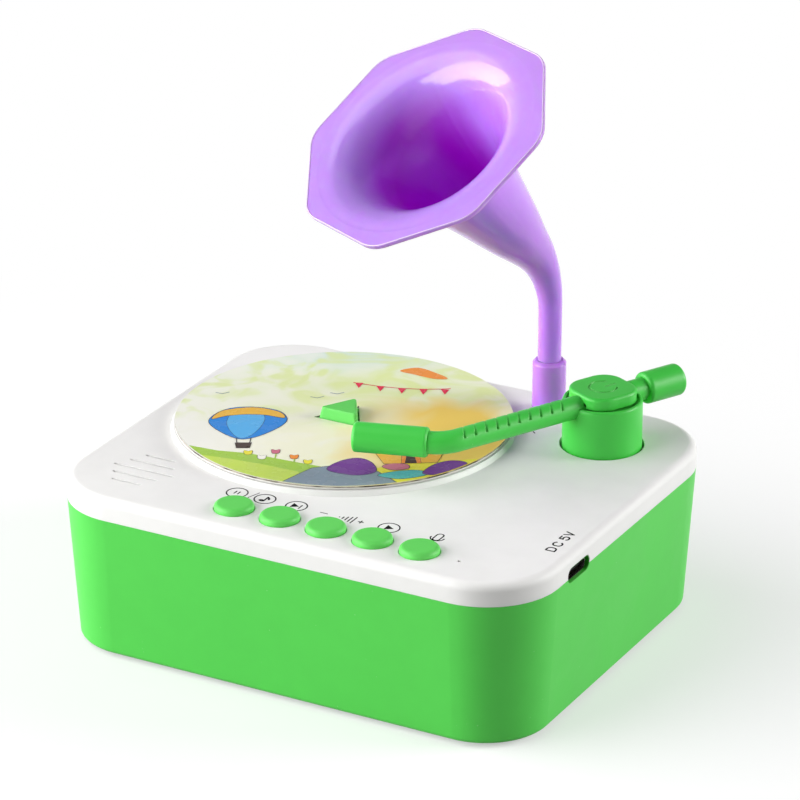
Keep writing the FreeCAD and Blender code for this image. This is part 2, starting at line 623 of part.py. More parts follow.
def triangle(sketch, side, extra="0"):
    """An equal-sided triangle about the origin with its base towards the front."""
    inner = f"(({side}) / 2 + ({extra})) / sqrt(3)"
    half = f"(({side}) / 2 + ({extra}) )"
    outline(sketch, [(f"-{half}", f"-{inner}"), (half, f"-{inner}"), ("0", f"2 * {inner}")])


def upright_edges(edge):
    ends = edge.Vertexes
    if len(ends) != 2:
        return False
    run = ends[1].Point - ends[0].Point
    return abs(run.z) > 0.5 and math.hypot(run.x, run.y) < abs(run.z) / 2


def spindle():
    """The three-sided drive key on its flange and shaft, one green moulding."""
    body = new_body("spindle")
    key = sketch_on(body, level="disc_bottom")
    triangle(key, "key_side")
    raise_from(body, key, "disc_thickness + key_height", draft="key_draft")
    soften(body, "key_round", upright_edges)
    soften(body, "key_edge", level_edges("disc_top + key_height"))
    shaft = sketch_on(body, "XZ_Plane")
    low = "recess_floor + flange_lift"
    outline(shaft, [
        ("0", "gear_bottom"), ("shaft_radius", "gear_bottom"), ("shaft_radius", low),
        ("flange_radius", low), ("flange_radius", "disc_bottom"), ("0", "disc_bottom"),
    ])
    spin(body, shaft)
    bore = sketch_on(body, level="gear_bottom")
    circle(bore, "0", "0", "small_screw_radius + screw_gap")
    cut_from(body, bore, "small_screw_reach + 1", up=True)
    return keep(put(body, "disc_x", "disc_y"), "spindle")


def story_disc():
    """The printed disc with a three-sided hole over the key."""
    body = new_body("story_disc")
    face = sketch_on(body, level="disc_bottom")
    circle(face, "0", "0", "disc_radius")
    triangle(face, "key_side", "key_gap * sqrt(3)")
    raise_from(body, face, "disc_thickness")
    return keep(put(body, "disc_x", "disc_y"), "story_disc")


def gear_body(label, teeth, radius, bottom, width, bore, x, y, turn):
    """A spur gear: a root disc, one tooth, and the tooth repeated around it."""
    body = new_body(label)
    root = f"{radius} - 1.2 * gear_module"
    disc = sketch_on(body, level=bottom)
    circle(disc, "0", "0", root)
    circle(disc, "0", "0", bore)
    raise_from(body, disc, width)
    tooth = sketch_on(body, level=bottom)
    thick = "(gear_module * pi / 2 - tooth_backlash) / 2"
    start, tip = f"{root} - 0.15", f"{radius} + 0.9 * gear_module"
    outline(tooth, [
        (start, f"-({thick} + 0.5 * gear_module * 0.7)"), (radius, f"-({thick})"),
        (tip, f"-({thick} - 0.5 * gear_module * 0.62)"), (tip, f"{thick} - 0.5 * gear_module * 0.62"),
        (radius, thick), (start, f"{thick} + 0.5 * gear_module * 0.7"),
    ])
    one = raise_from(body, tooth, width)
    doc.recompute()
    ring = body.newObject("PartDesign::PolarPattern", "teeth")
    ring.Originals = [one]
    ring.Axis = (tooth, ["N_Axis"])
    ring.Angle = 360
    bind(ring, Occurrences=teeth)
    body.Tip = ring
    doc.recompute()
    return put(body, x, y, turn=turn)


def spindle_gear():
    body = gear_body("spindle_gear", "gear_teeth", "gear_radius", "gear_bottom", "gear_width",
                     "shaft_radius + 0.01", "disc_x", "disc_y", "motor_direction")
    hub = sketch_on(body, level="gear_top - 0.5")
    circle(hub, "0", "0", "gear_hub_radius")
    circle(hub, "0", "0", "shaft_radius + 0.01")
    raise_from(body, hub, "gear_hub_height + 0.5")
    relief = sketch_on(body, level="gear_top")
    circle(relief, "0", "0", "gear_radius - 1.2 * gear_module - 1.6")
    circle(relief, "0", "0", "gear_hub_radius + 0.8")
    cut_from(body, relief, "gear_width / 3")
    return keep(body, "spindle_gear")


def motor_parts():
    """The drive motor, its spinning shaft and pinion, and the steel bracket that holds it."""
    turned("spindle_bush", [
        ("shaft_radius + running_gap", "bush_bottom"), ("bush_radius", "bush_bottom"),
        ("bush_radius", "recess_floor"), ("shaft_radius + running_gap", "recess_floor"),
    ], "disc_x", "disc_y")
    screws("spindle_screw", [("disc_x", "disc_y")], "gear_bottom + small_screw_reach",
           "gear_bottom", "small_screw_radius", "gear_hub_radius - 1", "small_head_height")
    low = "bracket_bottom - motor_height"
    bore = "motor_shaft_radius + running_gap"
    turned("motor", [
        ("0", low), ("motor_radius - 0.8", low), ("motor_radius", f"{low} + 0.8"),
        ("motor_radius", "bracket_bottom - 0.6"), ("motor_radius - 0.6", "bracket_bottom"),
        ("motor_neck_radius", "bracket_bottom"), ("motor_neck_radius", "bracket_top"),
        (bore, "bracket_top"), (bore, "bracket_top - motor_shaft_depth"),
        ("0", "bracket_top - motor_shaft_depth"),
    ], "motor_x", "motor_y")
    turned("motor_shaft", [
        ("0", "bracket_top - motor_shaft_depth + 0.1"),
        ("motor_shaft_radius", "bracket_top - motor_shaft_depth + 0.1"),
        ("motor_shaft_radius", "gear_top + 0.8"), ("0", "gear_top + 0.8"),
    ], "motor_x", "motor_y")
    pinion = gear_body("motor_pinion", "pinion_teeth", "pinion_radius", "gear_bottom - 0.4",
                       "gear_width + 0.8", "motor_shaft_radius + 0.01", "motor_x", "motor_y",
                       "motor_direction + 180 - 180 / pinion_teeth")
    keep(pinion, "motor_pinion")
    bracket = plate("motor_bracket", "bracket_width", "bracket_length", "3", "bracket_bottom",
                    "bracket_thickness", "motor_x", "motor_y")
    holes(bracket, [("0", "0")], "motor_neck_radius + 0.1", "bracket_bottom - 1", "bracket_top + 1")
    holes(bracket, [("-bracket_post_x", "bracket_post_y"), ("bracket_post_x", "bracket_post_y"),
                    ("-motor_screw_spacing", "-1"), ("motor_screw_spacing", "-1")],
          "small_screw_radius + screw_gap", "bracket_bottom - 1", "bracket_top + 1")
    motor = next(item for item in pieces if item.Label == "motor")
    holes(motor, [("-motor_screw_spacing", "-1"), ("motor_screw_spacing", "-1")],
          "small_screw_radius + screw_gap", "bracket_bottom - 2.5", "bracket_bottom + 1")
    screws("motor_screws", [("motor_x - motor_screw_spacing", "motor_y - 1"),
                            ("motor_x + motor_screw_spacing", "motor_y - 1")],
           "bracket_bottom - 2.2", "bracket_top", "small_screw_radius", "small_head_radius",
           "small_head_height - 0.3", head_up=True)
    screws("bracket_screws", BRACKET_POSTS, "bracket_bottom + small_screw_reach + 0.6",
           "bracket_bottom", "small_screw_radius", "small_head_radius + 0.6", "small_head_height")
    reader = new_body("reader_coil")
    face = sketch_on(reader, level="cover_under - reader_thickness")
    circle(face, "0", "0", "reader_radius")
    circle(face, "0", "0", "tube_radius + 1.5")
    raise_from(reader, face, "reader_thickness")
    keep(put(reader, "disc_x", "disc_y"), "reader_coil")


# ---- keys ----------------------------------------------------------------------------------------

def keys():
    """Five round keys: each cap with its retaining flange, and the switch stem that it presses."""
    for name, (x, y) in zip(CAP_NAMES, CAPS):
        cap = turned(f"{name}_cap", [
            ("0", "cap_bottom"), ("cap_flange_radius", "cap_bottom"),
            ("cap_flange_radius", "cover_under - joint_gap"), ("cap_radius", "cover_under - joint_gap"),
            ("cap_radius", "cover_top + cap_proud"), ("0", "cover_top + cap_proud"),
        ], x, y)
        soften(cap, "cap_round", level_edges("cover_top + cap_proud"))
        turned(f"{name}_stem", [
            ("0", "switch_top - plunger_reach + 0.9"),
            ("plunger_radius", "switch_top - plunger_reach + 0.9"),
            ("plunger_radius", "cap_bottom"), ("0", "cap_bottom"),
        ], x, y)
    housings = new_body("switch_housings")
    blocks = sketch_on(housings, level="board_top")
    for x, y in CAPS:
        rounded_rectangle(blocks, "switch_side", "switch_side", "0.4", x, y)
    raise_from(housings, blocks, "switch_height")
    holes(housings, CAPS, "plunger_radius + 0.15", "switch_top - plunger_reach", "switch_top + 1")
    keep(housings, "switch_housings")
    board = plate("key_board", KEY_BOARD_WIDTH, "key_board_depth", "1", "board_bottom",
                  "board_thickness", KEY_BOARD_X, KEY_BOARD_Y)
    holes(board, [(f"{x} - ({KEY_BOARD_X})", f"{y} - ({KEY_BOARD_Y})") for x, y in KEY_POSTS],
          "small_screw_radius + screw_gap", "board_bottom - 1", "board_top + 1")
    screws("key_board_screws", KEY_POSTS, "board_bottom + small_screw_reach", "board_bottom",
           "small_screw_radius", "small_head_radius", "small_head_height")


# ---- electronics ---------------------------------------------------------------------------------

def speaker():
    """A round loudspeaker under the slots: gasket, basket, cone and magnet."""
    face = "cover_under - gasket_thickness"
    rim = f"{face} - speaker_rim"
    turned("speaker_gasket", [
        ("speaker_radius - gasket_width", face), ("speaker_radius", face),
        ("speaker_radius", "cover_under"), ("speaker_radius - gasket_width", "cover_under"),
    ], "speaker_x", "speaker_y")
    turned("speaker_basket", [
        ("magnet_radius - 2", f"{rim} - basket_depth"), ("magnet_radius + 0.6", f"{rim} - basket_depth"),
        ("speaker_radius - 1.6", rim), ("speaker_radius", rim), ("speaker_radius", face),
        ("cone_radius + 0.2", face), ("cone_radius + 0.2", f"{rim} + 0.2"),
        ("magnet_radius - 0.2", f"{rim} - basket_depth + 0.8"),
        ("magnet_radius - 2", f"{rim} - basket_depth + 0.8"),
    ], "speaker_x", "speaker_y")
    turned("speaker_cone", [
        ("0", f"{face} - cone_depth"), ("3.2", f"{face} - cone_depth"), ("cone_radius - 1.4", rim),
        ("cone_radius", f"{rim} + 0.35"), ("cone_radius", f"{rim} + 0.75"),
        ("cone_radius - 1.6", f"{rim} + 0.5"), ("3.2", f"{face} - cone_depth + 0.5"),
        ("0", f"{face} - cone_depth + 0.9"),
    ], "speaker_x", "speaker_y")
    turned("speaker_magnet", [
        ("0", f"{rim} - basket_depth - magnet_height"),
        ("magnet_radius - 0.5", f"{rim} - basket_depth - magnet_height"),
        ("magnet_radius", f"{rim} - basket_depth - magnet_height + 0.5"),
        ("magnet_radius", f"{rim} - basket_depth"), ("magnet_radius - 2.1", f"{rim} - basket_depth"),
        ("magnet_radius - 2.1", f"{rim} - basket_depth + 1.6"),
        ("0", f"{rim} - basket_depth + 1.6"),
    ], "speaker_x", "speaker_y")
    screws("speaker_screws", SPEAKER_POSTS, f"{rim} + speaker_rim", rim,
           "small_screw_radius", "small_head_radius + 1", "small_head_height")


def microphone():
    turned("microphone", [
        ("0", "cover_under - microphone_height"), ("microphone_radius", "cover_under - microphone_height"),
        ("microphone_radius", "cover_under - 0.1"), ("0", "cover_under - 0.1"),
    ], "pinhole_x", "pinhole_y")
    turned("microphone_boot", [
        ("microphone_radius", "cover_under - microphone_height"),
        ("microphone_radius + boot_wall", "cover_under - microphone_height"),
        ("microphone_radius + boot_wall", "cover_under"), ("microphone_radius", "cover_under"),
    ], "pinhole_x", "pinhole_y")


def main_board():
    """The player's board under the right of the cover, with its charging port and chip."""
    board = plate("main_board", "board_length", "board_width", "1.5", "board_bottom",
                  "board_thickness", MAIN_BOARD_X, "board_y")
    holes(board, [(f"{x} - ({MAIN_BOARD_X})", f"{y} - (board_y)") for x, y in MAIN_POSTS],
          "small_screw_radius + screw_gap", "board_bottom - 1", "board_top + 1")
    screws("main_board_screws", MAIN_POSTS, "board_bottom + small_screw_reach", "board_bottom",
           "small_screw_radius", "small_head_radius", "small_head_height")
    plate("audio_chip", "chip_side", "chip_side", "0.3", "board_bottom - chip_height",
          "chip_height", MAIN_BOARD_X, "board_y + 3")
    shell = new_body("port_shell")
    mouth = sketch_on(shell, "YZ_Plane", level="plug_front")
    rounded_rectangle(mouth, "plug_width", "plug_height", "plug_height / 2 - 0.2", "0", "0")
    raise_from(shell, mouth, "plug_depth", down=True)
    hollow = sketch_on(shell, "YZ_Plane", level="plug_front")
    rounded_rectangle(hollow, "plug_width - 2 * plug_wall", "plug_height - 2 * plug_wall",
                      "plug_height / 2 - 0.2 - plug_wall", "0", "0")
    cut_from(shell, hollow, "plug_depth - 1")
    keep(put(shell, y="port_y", z="port_level"), "port_shell")
    tongue = new_body("port_tongue")
    tip = sketch_on(tongue, "YZ_Plane", level="plug_front - tongue_set_back")
    rounded_rectangle(tip, "tongue_width", "tongue_height", "0.2", "0", "0")
    raise_from(tongue, tip, "plug_depth - 1 - tongue_set_back", down=True)
    keep(put(tongue, y="port_y", z="port_level"), "port_tongue")


def battery():
    plate("battery_pad", "battery_width * 0.8", "battery_depth * 0.8", "1", "floor_top",
          "pad_thickness", "battery_x", "battery_y")
    cell = plate("battery_cell", "battery_width", "battery_depth", "battery_round",
                 "floor_top + pad_thickness", "battery_height", "battery_x", "battery_y")
    soften(cell, "1", lambda edge: level_edges("floor_top + pad_thickness")(edge)
           or level_edges("floor_top + pad_thickness + battery_height")(edge))


# ---- tonearm -------------------------------------------------------------------------------------

def arm_channel(body, radius, top):
    """A round-bottomed channel along the arm, open above, cut through a body at the pivot."""
    level = "arm_level"
    sketch = sketch_on(body, "YZ_Plane", level="column_radius + 2", up=level)
    half = number(radius)
    rise = number(top) - number(level)
    arc = sketch.addGeometry(Part.ArcOfCircle(Part.Circle(Vector(), Vector(0, 0, 1), half),
                                              math.pi, 2 * math.pi), False)
    left = sketch.addGeometry(Part.LineSegment(Vector(-half, rise, 0), Vector(-half, 0, 0)), False)
    right = sketch.addGeometry(Part.LineSegment(Vector(half, 0, 0), Vector(half, rise, 0)), False)
    lid = sketch.addGeometry(Part.LineSegment(Vector(half, rise, 0), Vector(-half, rise, 0)), False)
    sketch.addConstraint(Sketcher.Constraint("Coincident", lid, 2, left, 1))
    sketch.addConstraint(Sketcher.Constraint("Tangent", left, 2, arc, 1))
    sketch.addConstraint(Sketcher.Constraint("Tangent", arc, 2, right, 1))
    sketch.addConstraint(Sketcher.Constraint("Coincident", right, 2, lid, 1))
    sketch.addConstraint(Sketcher.Constraint("Coincident", arc, 3, -1, 1))
    sketch.addConstraint(Sketcher.Constraint("Horizontal", lid))
    sketch.addConstraint(Sketcher.Constraint("Vertical", left))
    sketch.addConstraint(Sketcher.Constraint("Vertical", right))
    measure(sketch, "Radius", radius, arc)
    measure(sketch, "DistanceY", f"({top}) - ({level})", -1, 1, lid, 1)
    return cut_from(body, sketch, "2 * column_radius + 4")


def pivot_column():
    """The round turret that turns in the cover: rim, recess for the power cap, deck, bore and neck."""
    column = turned("pivot_column", [
        ("bore_radius", "neck_bottom"), ("neck_radius", "neck_bottom"),
        ("neck_radius", "column_foot"), ("column_radius", "column_foot"),
        ("column_radius", "column_top"), ("deck_radius", "column_top"), ("deck_radius", "deck_top"),
        ("rod_radius + 0.1", "deck_top"), ("rod_radius + 0.1", "deck_bottom"),
        ("bore_radius", "deck_bottom"),
    ], "pivot_x", "pivot_y")
    rim = level_edges("column_top")
    edge_radius = number("column_radius")
    soften(column, "column_round",
           lambda edge: rim(edge) and abs(edge.Curve.Radius - edge_radius) < 1e-3)
    column.Placement = Placement(Vector(), Rotation(Vector(0, 0, 1), number("arm_angle")))
    put(column, "pivot_x", "pivot_y", turn="arm_angle")
    arm_channel(column, "arm_radius + 0.02", "column_top + 1")
    holes(column, [("0", "(neck_radius + bore_radius) / 2"), ("0", "-(neck_radius + bore_radius) / 2")],
          "small_screw_radius - 0.1 + screw_gap", "neck_bottom", "neck_bottom + 3.2")
    return column


def arm_line(body):
    """The arm's middle line: straight through the pivot, one bend, straight into the head."""
    sketch = sketch_on(body, level="arm_level")
    bend = math.radians(number("arm_bend"))
    radius, corner = number("arm_bend_radius"), number("arm_to_corner")
    tangent = radius * math.tan(bend / 2)
    run = "(headshell_start + headshell_length - 2)"
    tail, turn_in = Vector(number("weight_end - 1"), 0, 0), Vector(tangent - corner, 0, 0)
    away = Vector(-math.cos(bend), math.sin(bend), 0)
    turn_out, head = away * tangent - Vector(corner, 0, 0), away * number(run) - Vector(corner, 0, 0)
    middle = Vector(turn_in.x, radius, 0)
    arc = Part.ArcOfCircle(Part.Circle(middle, Vector(0, 0, 1), radius), -math.pi / 2 - bend, -math.pi / 2)
    first = sketch.addGeometry(Part.LineSegment(tail, turn_in), False)
    curve = sketch.addGeometry(arc, False)
    last = sketch.addGeometry(Part.LineSegment(turn_out, head), False)
    fix_point(sketch, first, 1, "weight_end - 1", "0")
    sketch.addConstraint(Sketcher.Constraint("Horizontal", first))
    bent = "arm_bend_radius * tan(arm_bend / 2 * 1deg)"
    measure(sketch, "DistanceX", f"{bent} - arm_to_corner", -1, 1, first, 2)
    sketch.addConstraint(Sketcher.Constraint("Tangent", first, 2, curve, 2))
    sketch.addConstraint(Sketcher.Constraint("Tangent", curve, 1, last, 1))
    measure(sketch, "Radius", "arm_bend_radius", curve)
    fix_point(sketch, last, 2, f"-arm_to_corner - {run} * cos(arm_bend * 1deg)",
              f"{run} * sin(arm_bend * 1deg)")
    return sketch


def box_outline(sketch, left, right, half_width):
    outline(sketch, [(left, f"-({half_width})"), (right, f"-({half_width})"),
                     (right, half_width), (left, half_width)])


def arm_tube():
    """The round arm swept along its line, flattened where it crosses the column, grooved on top."""
    body = new_body("arm_tube")
    line = arm_line(body)
    section = sketch_on(body, "YZ_Plane", level="weight_end - 1")
    circle(section, "0", "arm_level", "arm_radius")
    tube = body.newObject("PartDesign::AdditivePipe", "tube")
    tube.Profile = section
    tube.Spine = (line, ["Edge1", "Edge2", "Edge3"])
    doc.recompute()
    flat = sketch_on(body, level="flat_top")
    box_outline(flat, "-cap_side / 2 - 0.12", "cap_side / 2 + 0.12", "arm_radius + 0.5")
    cut_from(body, flat, "arm_radius", up=True)
    holes(body, [("0", "0")], "rod_radius + 0.1", "arm_level - arm_radius - 1", "arm_level + arm_radius")
    ring = sketch_on(body, "XZ_Plane", across="-rib_first", up="arm_level")
    ring.AttachmentOffset = Placement(ring.AttachmentOffset.Base,
                                      Rotation(Vector(0, 1, 0), number("rib_skew")))
    low, high = "arm_radius - rib_cut", "arm_radius + 1.5"
    outline(ring, [("-rib_length / 2", low), ("rib_length / 2", low),
                   ("rib_length / 2", high), ("-rib_length / 2", high)])
    first = groove(body, ring, "rib_sweep")
    doc.recompute()
    row = body.newObject("PartDesign::LinearPattern", "row")
    row.Originals = [first]
    row.Direction = (next(f for f in body.Origin.OriginFeatures if f.Role == "X_Axis"), [""])
    row.Reversed = True
    bind(row, Length="(rib_count - 1) * rib_pitch", Occurrences="rib_count")
    body.Tip = row
    return keep(put(body, "pivot_x", "pivot_y", turn="arm_angle"), "arm_tube")


def sleeve(label, length, outer, inner, depth, edge_round, x, y, heading):
    """A round sleeve with rounded ends lying level on the arm, its mouth turned to the column."""
    body = new_body(label)
    ring = sketch_on(body, "YZ_Plane")
    circle(ring, "0", "0", outer)
    raise_from(body, ring, length)
    soften(body, edge_round, lambda edge: len(edge.Vertexes) == 1)
    mouth = sketch_on(body, "YZ_Plane")
    circle(mouth, "0", "0", inner)
    cut_from(body, mouth, depth, up=True)
    return keep(put(body, x, y, "arm_level", turn=heading), label)


def headshell_and_weight():
    """The sleeve over the arm's bent end and the round weight on its tail."""
    inner = "arm_radius + 0.02"
    sleeve("headshell", "headshell_length", "headshell_radius", inner, "headshell_length - 1.9",
           "0.8", "head_x", "head_y", "head_heading")
    length = "weight_end - weight_start"
    sleeve("counterweight", length, "weight_radius", inner, f"{length} - 0.9",
           "weight_round", "weight_x", "weight_y", "arm_angle")


def power_cap():
    """The rounded square key on top of the column, notched over the arm, with its power symbol."""
    body = new_body("power_cap")
    outer = sketch_on(body, level="power_cap_bottom")
    rounded_rectangle(outer, "cap_side", "cap_side", "cap_corner")
    raise_from(body, outer, "cap_height")
    soften(body, "power_cap_round", level_edges("power_cap_top"))
    inner = sketch_on(body, level="power_cap_bottom")
    rounded_rectangle(inner, "cap_side - 2 * cap_skirt", "cap_side - 2 * cap_skirt",
                      "cap_corner - cap_skirt")
    cut_from(body, inner, "cap_height - cap_plate", up=True)
    notch = sketch_on(body, "YZ_Plane", level="cap_side")
    half = "arm_radius + 0.12"
    outline(notch, [
        (f"-({half})", "power_cap_bottom - 1"), (half, "power_cap_bottom - 1"),
        (half, "flat_top + power_travel + 0.12"), (f"-({half})", "flat_top + power_travel + 0.12"),
    ])
    cut_from(body, notch, "2 * cap_side")
    symbol = sketch_on(body, level="power_cap_top - symbol_depth")
    arc_slot(symbol, "symbol_radius", "symbol_line", "symbol_open / 2", "360 - symbol_open / 2")
    outline(symbol, [
        ("0.6", "-symbol_line / 2"), ("symbol_radius + 0.3", "-symbol_line / 2"),
        ("symbol_radius + 0.3", "symbol_line / 2"), ("0.6", "symbol_line / 2"),
    ])
    cut_from(body, symbol, "symbol_depth + 1", up=True)
    keep(put(body, "pivot_x", "pivot_y", turn="arm_angle"), "power_cap")


def arc_slot(sketch, radius, line, start, end):
    """A round-backed open ring: two arcs about the origin joined by short radial ends."""
    inner, outer = f"{radius} - {line} / 2", f"{radius} + {line} / 2"
    first, last = math.radians(number(start)), math.radians(number(end))
    arcs = []
    for r in (inner, outer):
        ring = Part.Circle(Vector(), Vector(0, 0, 1), number(r))
        arcs.append(sketch.addGeometry(Part.ArcOfCircle(ring, first, last), False))
        sketch.addConstraint(Sketcher.Constraint("Coincident", arcs[-1], 3, -1, 1))
        measure(sketch, "Radius", r, arcs[-1])
        for end_name, angle in ((1, start), (2, end)):
            sketch_x = f"({r}) * cos(({angle}) * 1deg)"
            measure(sketch, "DistanceX", sketch_x, -1, 1, arcs[-1], end_name)
    for end_name, angle in ((1, first), (2, last)):
        spots = [Vector(number(r) * math.cos(angle), number(r) * math.sin(angle), 0)
                 for r in (inner, outer)]
        side = sketch.addGeometry(Part.LineSegment(*spots), False)
        sketch.addConstraint(Sketcher.Constraint("Coincident", side, 1, arcs[0], end_name))
        sketch.addConstraint(Sketcher.Constraint("Coincident", side, 2, arcs[1], end_name))


def power_switch():
    """The push rod down the column, its clip, and the switch and board that it works."""
    turned("power_rod", [
        ("0", "rod_bottom"), ("rod_radius", "rod_bottom"),
        ("rod_radius", "power_cap_top - cap_plate"), ("0", "power_cap_top - cap_plate"),
    ], "pivot_x", "pivot_y")
    turned("power_clip", [
        ("rod_radius", "deck_bottom - joint_gap - clip_height"),
        ("clip_radius", "deck_bottom - joint_gap - clip_height"),
        ("clip_radius", "deck_bottom - joint_gap"), ("rod_radius", "deck_bottom - joint_gap"),
    ], "pivot_x", "pivot_y")
    turned("column_washer", [
        ("bore_radius - 1", "neck_bottom - washer_height"),
        ("washer_radius", "neck_bottom - washer_height"),
        ("washer_radius", "neck_bottom"), ("bore_radius - 1", "neck_bottom"),
    ], "pivot_x", "pivot_y")
    washer = pieces[-1]
    spots = [("0", "(neck_radius + bore_radius) / 2"), ("0", "-(neck_radius + bore_radius) / 2")]
    put(washer, "pivot_x", "pivot_y", turn="arm_angle")
    holes(washer, spots, "small_screw_radius - 0.1 + screw_gap", "neck_bottom - washer_height - 1",
          "neck_bottom + 1")
    middle = "(neck_radius + bore_radius) / 2"
    around = [
        (f"pivot_x + {s} * {middle} * sin(arm_angle * 1deg)",
         f"pivot_y - {s} * {middle} * cos(arm_angle * 1deg)") for s in (1, -1)
    ]
    screws("column_screws", around, "neck_bottom + small_screw_reach", "neck_bottom - washer_height",
           "small_screw_radius - 0.1", "small_head_radius - 0.2", "small_head_height - 0.2")
    board = plate("power_board", "power_board_width", "power_board_depth", "1.5",
                  "power_board_top - board_thickness", "board_thickness",
                  "pivot_x", "pivot_y - 4.5")
    holes(board, [("-power_post_x", "power_post_y + 4.5"), ("power_post_x", "power_post_y + 4.5")],
          "small_screw_radius + screw_gap", "power_board_top - board_thickness - 1",
          "power_board_top + 1")
    screws("power_board_screws", POWER_POSTS, "power_board_top + small_screw_reach - 0.4",
           "power_board_top - board_thickness", "small_screw_radius", "small_head_radius",
           "small_head_height")
    housing = plate("power_switch", "switch_side", "switch_side", "0.4", "power_board_top",
                    "switch_height", "pivot_x", "pivot_y")
    holes(housing, [("0", "0")], "plunger_radius + 0.15", "power_board_top + 0.5",
          "power_board_top + switch_height + 1")
    turned("power_switch_stem", [
        ("0", "power_board_top + 1.2"), ("plunger_radius", "power_board_top + 1.2"),
        ("plunger_radius", "rod_bottom"), ("0", "rod_bottom"),
    ], "pivot_x", "pivot_y")


# ---- horn ----------------------------------------------------------------------------------------

def horn_collar():
    """The horn's foot: a collar that stands on the cover and a plug that turns in its socket."""
    low = "cover_top + joint_gap"
    sink = "collar_top - stem_sink"
    collar = turned("horn_collar", [
        ("0", "plug_bottom"), ("plug_radius - 0.5", "plug_bottom"), ("plug_radius", "plug_bottom + 0.5"),
        ("plug_radius", "cover_top - ring_drop - ring_section"),
        ("plug_radius - 2 * ring_section", "cover_top - ring_drop - ring_section"),
        ("plug_radius - 2 * ring_section", "cover_top - ring_drop + ring_section"),
        ("plug_radius", "cover_top - ring_drop + ring_section"), ("plug_radius", low),
        ("collar_radius", low), ("collar_radius", "collar_top - collar_round"),
        ("collar_radius - collar_round", "collar_top"), ("stem_radius + 0.02", "collar_top"),
        ("stem_radius + 0.02", sink), ("0", sink),
    ], "stem_x", "stem_y")
    ring = doc.addObject("Part::Torus", "horn_ring")
    bind(ring, Radius1="plug_radius - ring_section", Radius2="ring_section - 0.01")
    keep(put(ring, "stem_x", "stem_y", "cover_top - ring_drop"), "horn_ring")
    return collar


def rounded_octagon(middle, along, side, inradius, corner):
    """A closed ring of eight edges and eight corner arcs, square to a direction."""
    up = along.cross(side)
    half = math.pi / 8
    share = inradius * math.tan(half) - corner * math.tan(half)
    edges = []
    for k in range(8):
        turn = math.pi / 4 * k
        out = side * math.cos(turn) + up * math.sin(turn)
        flat = up * math.cos(turn) - side * math.sin(turn)
        first = middle + out * inradius - flat * share
        last = middle + out * inradius + flat * share
        edges.append(Part.LineSegment(first, last).toShape())
        centre = middle + out * (inradius - corner) + flat * share
        diagonal = side * math.cos(turn + half) + up * math.sin(turn + half)
        out_next = side * math.cos(turn + 2 * half) + up * math.sin(turn + 2 * half)
        edges.append(Part.Arc(last, centre + diagonal * corner, centre + out_next * corner).toShape())
    return Part.Wire(edges)


def horn_line(distance):
    """A point and direction of the horn's middle line, by distance back from its mouth."""
    lean, radius = math.radians(number("horn_lean")), number("horn_bend_radius")
    reach, start = number("horn_reach"), number("cover_top + horn_straight")
    across = radius * (1 - math.cos(lean))
    straight = (reach - across) / math.sin(lean)
    bend_top = start + radius * math.sin(lean)
    if distance <= straight:
        run = straight - distance
        spot = (across + run * math.sin(lean), bend_top + run * math.cos(lean))
        return spot, lean
    turned_by = lean - (distance - straight) / radius
    if turned_by <= 0:
        return (0, start + turned_by * radius), 0
    return (radius * (1 - math.cos(turned_by)), start + radius * math.sin(turned_by)), turned_by


def horn_section(distance, inradius, roundness):
    """One ring of the horn: near the mouth its plane turns towards the tilt of the mouth."""
    (across, height), lean = horn_line(distance)
    mouth_lean = math.radians(90 - number("mouth_tilt"))
    blend = max(0, 1 - distance / number("bell_length * 0.4")) ** 2
    lean = lean * (1 - blend) + mouth_lean * blend
    turn = math.radians(number("horn_turn"))
    forward = Vector(-math.sin(turn), -math.cos(turn), 0)
    level_side = Vector(math.cos(turn), -math.sin(turn), 0)
    along = forward * math.sin(lean) + Vector(0, 0, 1) * math.cos(lean)
    side = Rotation(along, number("mouth_twist")).multVec(level_side)
    middle = Vector(number("stem_x"), number("stem_y"), 0) + forward * across + Vector(0, 0, height)
    return rounded_octagon(middle, along, side, inradius, inradius * roundness)


def smooth(knots, distance):
    """A radius between given (distance, radius) pairs, by a curve that never overshoots them."""
    for (t0, r0), (t1, r1) in zip(knots, knots[1:]):
        if t1 <= distance <= t0:
            break
    i = knots.index((t0, r0))

    def slope(k):
        if k in (0, len(knots) - 1):
            return (knots[min(k + 1, len(knots) - 1)][1] - knots[max(k - 1, 0)][1]) / (
                knots[min(k + 1, len(knots) - 1)][0] - knots[max(k - 1, 0)][0])
        before = (knots[k][1] - knots[k - 1][1]) / (knots[k][0] - knots[k - 1][0])
        after = (knots[k + 1][1] - knots[k][1]) / (knots[k + 1][0] - knots[k][0])
        return 2 * before * after / (before + after)

    step = t1 - t0
    u = (distance - t0) / step
    rise = (2 * u**3 - 3 * u**2 + 1) * r0 + (3 * u**2 - 2 * u**3) * r1
    return rise + (u**3 - 2 * u**2 + u) * step * slope(i) + (u**3 - u**2) * step * slope(i + 1)


def bell(knots, stations):
    """A smooth solid through round rings along the horn's line.

    Knots and stations count back from the mouth in parts of the bell's length.
    """
    length = number("bell_length")
    knots = [(part * length, radius) for part, radius in knots]
    rings = [horn_section(part * length, smooth(knots, part * length), 0.97) for part in stations]
    return Part.makeLoft(rings, True, False)


